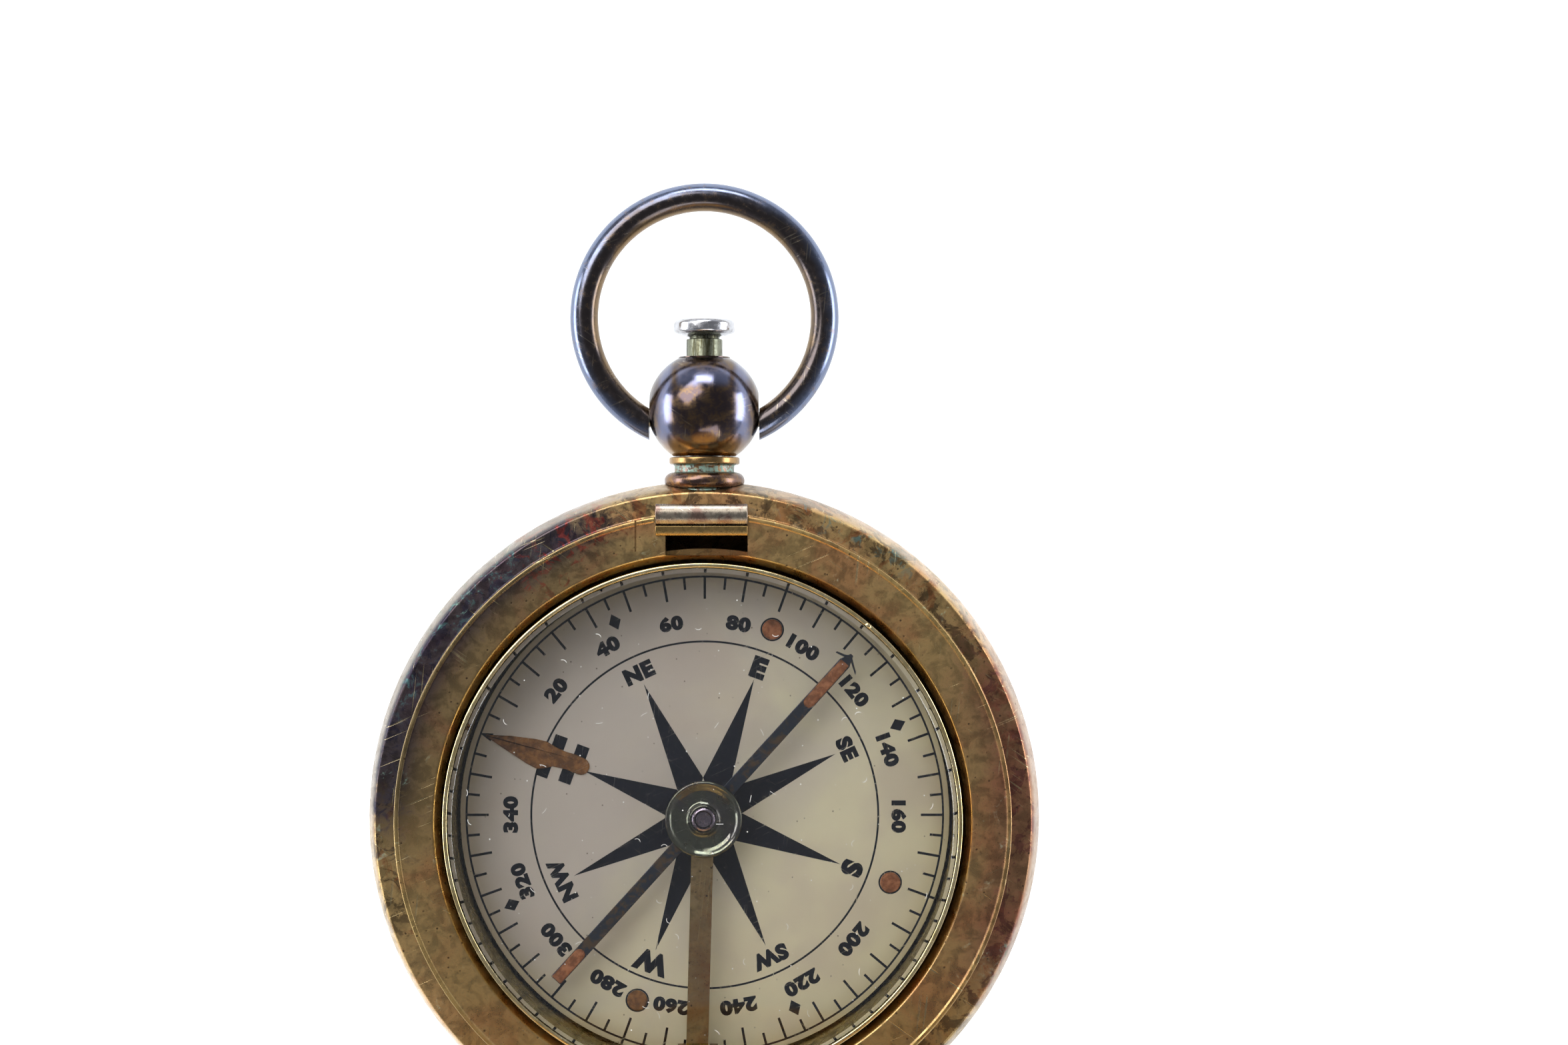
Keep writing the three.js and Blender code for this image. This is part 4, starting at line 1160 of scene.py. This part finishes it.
def bow():
    wire = (high("bow_ring")[2] - low("bow_ring")[2]) / 2
    mean = high("bow_ring")[0] - wire
    bm = bmesh.new()
    around, across = ((180, 28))
    rows = []
    for i in range(around):
        turn = 2 * math.pi * i / around
        row = []
        for k in range(across):
            tilt = 2 * math.pi * k / across
            reach = mean + wire * math.cos(tilt)
            place = (reach * math.sin(turn), BOW_CENTRE_Y + reach * math.cos(turn),
                     PENDANT_Z + wire * math.sin(tilt))
            row.append(bm.verts.new(place))
        rows.append(row)
    for i in range(around):
        walls(bm, rows[i], rows[(i + 1) % around])
    ring = finish_mesh("bow_ring_fine", bm)
    pivot_y = middle("bow_pivot_left", 1)
    holes = [rod("hole", 0.63, (side * 3, pivot_y, PENDANT_Z),
                 (side * 5, pivot_y, PENDANT_Z)) for side in (-1, 1)]
    carve(ring, block("gap", (-BALL_SIDE - FIT, 26, PENDANT_Z - 3), (BALL_SIDE + FIT, 34, PENDANT_Z + 3)),
          *holes)
    return dress(ring, BOW_BRONZE, "bow")


# ---- lid, drawn closed and turned open with the frame's own hinge ----


def opened(piece):
    turn = Matrix.Rotation(math.radians(90), 4, "X")
    hinge = Vector((0, HINGE_Y, HINGE_Z)) * MM
    piece.data.transform(Matrix.Translation(hinge) @ turn @ Matrix.Translation(-hinge))
    return piece


LID_INNER = 23.6
LID_FOOT = LEDGE_TOP + FIT
LID_RIM_TOP = 12.2


def lid():
    rim = [(LID_INNER + 0.1, LID_FOOT), (LEDGE_R, LID_FOOT), (LEDGE_R, LID_RIM_TOP),
           (LID_INNER, LID_RIM_TOP), (LID_INNER, LID_FOOT + 0.12)]
    ring = turned("lid_rim_fine", eased(rim, 0.1, 3))
    carve(ring, block("catch", (-3.95, 22.5, RING_TOP - 0.05), (3.8, 24.45, LID_RIM_TOP - 0.3)))
    dress(opened(ring), BRASS, "lid")
    edge, top, sheet = LID_RIM_TOP + FIT, 15.1, 0.6
    turns = quarter_turns(28)
    outside = [(LEDGE_R * math.cos(t), edge + (top - edge) * math.sin(t)) for t in turns]
    inside = [(LID_INNER * math.cos(t), edge + (top - sheet - edge) * math.sin(t)) for t in turns]
    outside[-1] = (0, top)
    inside[-1] = (0, top - sheet)
    shell = turned("lid_shell_fine", [*reversed(inside), *outside], closed=False)
    dress(opened(shell), BRASS, "lid")


def hinge():
    radius = 1.0
    bore = 0.45

    def barrel(name, x0, x1, leaf_low, leaf_high, cutter):
        piece = rod(name, radius, (x0, HINGE_Y, HINGE_Z), (x1, HINGE_Y, HINGE_Z))
        combine(piece, block("leaf", (x0, *leaf_low), (x1, *leaf_high)), "UNION")
        carve(piece, rod("bore", bore, (-9, HINGE_Y, HINGE_Z), (9, HINGE_Y, HINGE_Z)), cutter)
        return soften(piece, 0.07, 2)

    lid_seat = turned("seat", [(0, 8), (LEDGE_R + FIT, 8), (LEDGE_R + FIT, 13), (0, 13)], closed=False)
    knuckle = barrel("lid_knuckle_fine", -3.4, 3.4, (HINGE_Y, HINGE_Z + 0.15), (-24.5, HINGE_Z + 0.95),
                     lid_seat)
    dress(opened(knuckle), BRASS, "lid")
    for name, x0, x1 in (("hinge_knuckle_left", -7.0, -3.45), ("hinge_knuckle_right", 3.45, 7.0)):
        piece = barrel(name + "_fine", x0, x1, (HINGE_Y, HINGE_Z - 0.95), (-23.5, HINGE_Z - 0.1),
                       band_cutter())
        dress(piece, BRASS, "case")
    pin = rod("hinge_pin_fine", 0.4, (-7, HINGE_Y, HINGE_Z), (7, HINGE_Y, HINGE_Z))
    dress(soften(pin, 0.08, 3), STEEL, "case")


case_ring()
case_back()
chamber_cup()
bezel()
solder_blob()
crystal()
dust()
dial_card()
dial_print()
dial_paint()
needle_bar()
needle_tip()
needle_paint()
needle_cap()
lifter_arm()
lifter_stud()
pendant()
button()
latch_head()
bow()
lid()
hinge()

KEPT = {
    STEEL: ("pivot_post", "lid_spring", "lid_spring_screw", "latch_spring", "latch_spring_screw",
            "lifter_pin", "latch_plate", "latch_boss", "bow_pivot_left", "bow_pivot_right"),
    BRASS: ("chamber_seat", "dial_washer", "lid_presser"),
    LEVER_BRASS: ("lifter_lug_left", "lifter_lug_right", "dial_collet"),
    CAP_BRASS: ("needle_neck",),
}
for material, nodes in KEPT.items():
    for node in nodes:
        keep(node, material)

# ---- floor, light and camera ----


def floor():
    bm = bmesh.new()
    bmesh.ops.create_grid(bm, x_segments=1, y_segments=1, size=900)
    piece = finish_mesh("floor", bm)
    shade = Shade("floor", Specular_IOR_Level=0.1)
    shade.colour(rgb(240, 242, 243))
    shade.roughness(0.7)
    shade.shader.inputs["Emission Color"].default_value = rgb(246, 252, 255)
    shade.shader.inputs["Emission Strength"].default_value = 0.62
    piece.data.materials.append(shade.material)
    piece.location.z = -0.02 * MM


def soft_box(name, place, width, height, power, colour=(1, 1, 1)):
    """A rectangular light that faces the object."""
    light = bpy.data.lights.new(name, "AREA")
    light.shape = "RECTANGLE"
    light.size = width
    light.size_y = height
    light.energy = power
    light.color = colour
    holder = placed(name, light)
    holder.location = place
    holder.rotation_euler = (Vector((0, 0.01, 0)) - Vector(place)).to_track_quat("-Z", "Y").to_euler()


def world():
    """A dim ceiling over a bright horizon, as a white table and its screens give."""
    bpy.context.scene.world = bpy.data.worlds.new("studio")
    bpy.context.scene.world.use_nodes = True
    nodes = bpy.context.scene.world.node_tree.nodes
    links = bpy.context.scene.world.node_tree.links
    background = nodes["Background"]
    place = nodes.new("ShaderNodeTexCoord")
    split = nodes.new("ShaderNodeSeparateXYZ")
    share = nodes.new("ShaderNodeMapRange")
    share.interpolation_type = "SMOOTHSTEP"
    share.inputs["From Min"].default_value = 0.05
    share.inputs["From Max"].default_value = 0.75
    blend = nodes.new("ShaderNodeMix")
    blend.data_type = "RGBA"
    blend.inputs[6].default_value = rgb(232, 236, 244)
    blend.inputs[7].default_value = rgb(146, 148, 152)
    links.new(place.outputs["Generated"], split.inputs[0])
    links.new(split.outputs["Z"], share.inputs["Value"])
    links.new(share.outputs["Result"], blend.inputs[0])
    links.new(blend.outputs[2], background.inputs["Color"])
    background.inputs["Strength"].default_value = 0.8


def camera():
    """Straight above, at the height that gives the view its perspective."""
    distance = 190.0
    view_width = 118.6
    sensor = 36.0
    data = bpy.data.cameras.new("camera")
    data.sensor_width = sensor
    data.lens = sensor * distance / view_width
    data.clip_start = 0.005
    holder = placed("camera", data)
    holder.location = (6.15 * MM, 22.7 * MM, (RING_TOP + distance) * MM)
    bpy.context.scene.camera = holder


floor()
soft_box("key", (-0.24, 0.30, 0.40), 0.40, 0.30, 2.6, (1.0, 0.99, 0.97))
soft_box("front", (0.10, -0.40, 0.32), 0.34, 0.24, 1.1)
soft_box("left", (-0.46, 0.03, 0.10), 0.36, 0.17, 1.5, (0.93, 0.96, 1.0))
soft_box("right", (0.46, 0.05, 0.09), 0.36, 0.17, 1.5, (0.93, 0.96, 1.0))
soft_box("top", (0.0, 0.42, 0.22), 0.22, 0.12, 0.8, (0.93, 0.96, 1.0))
world()
camera()
bpy.context.scene.view_settings.view_transform = "Standard"
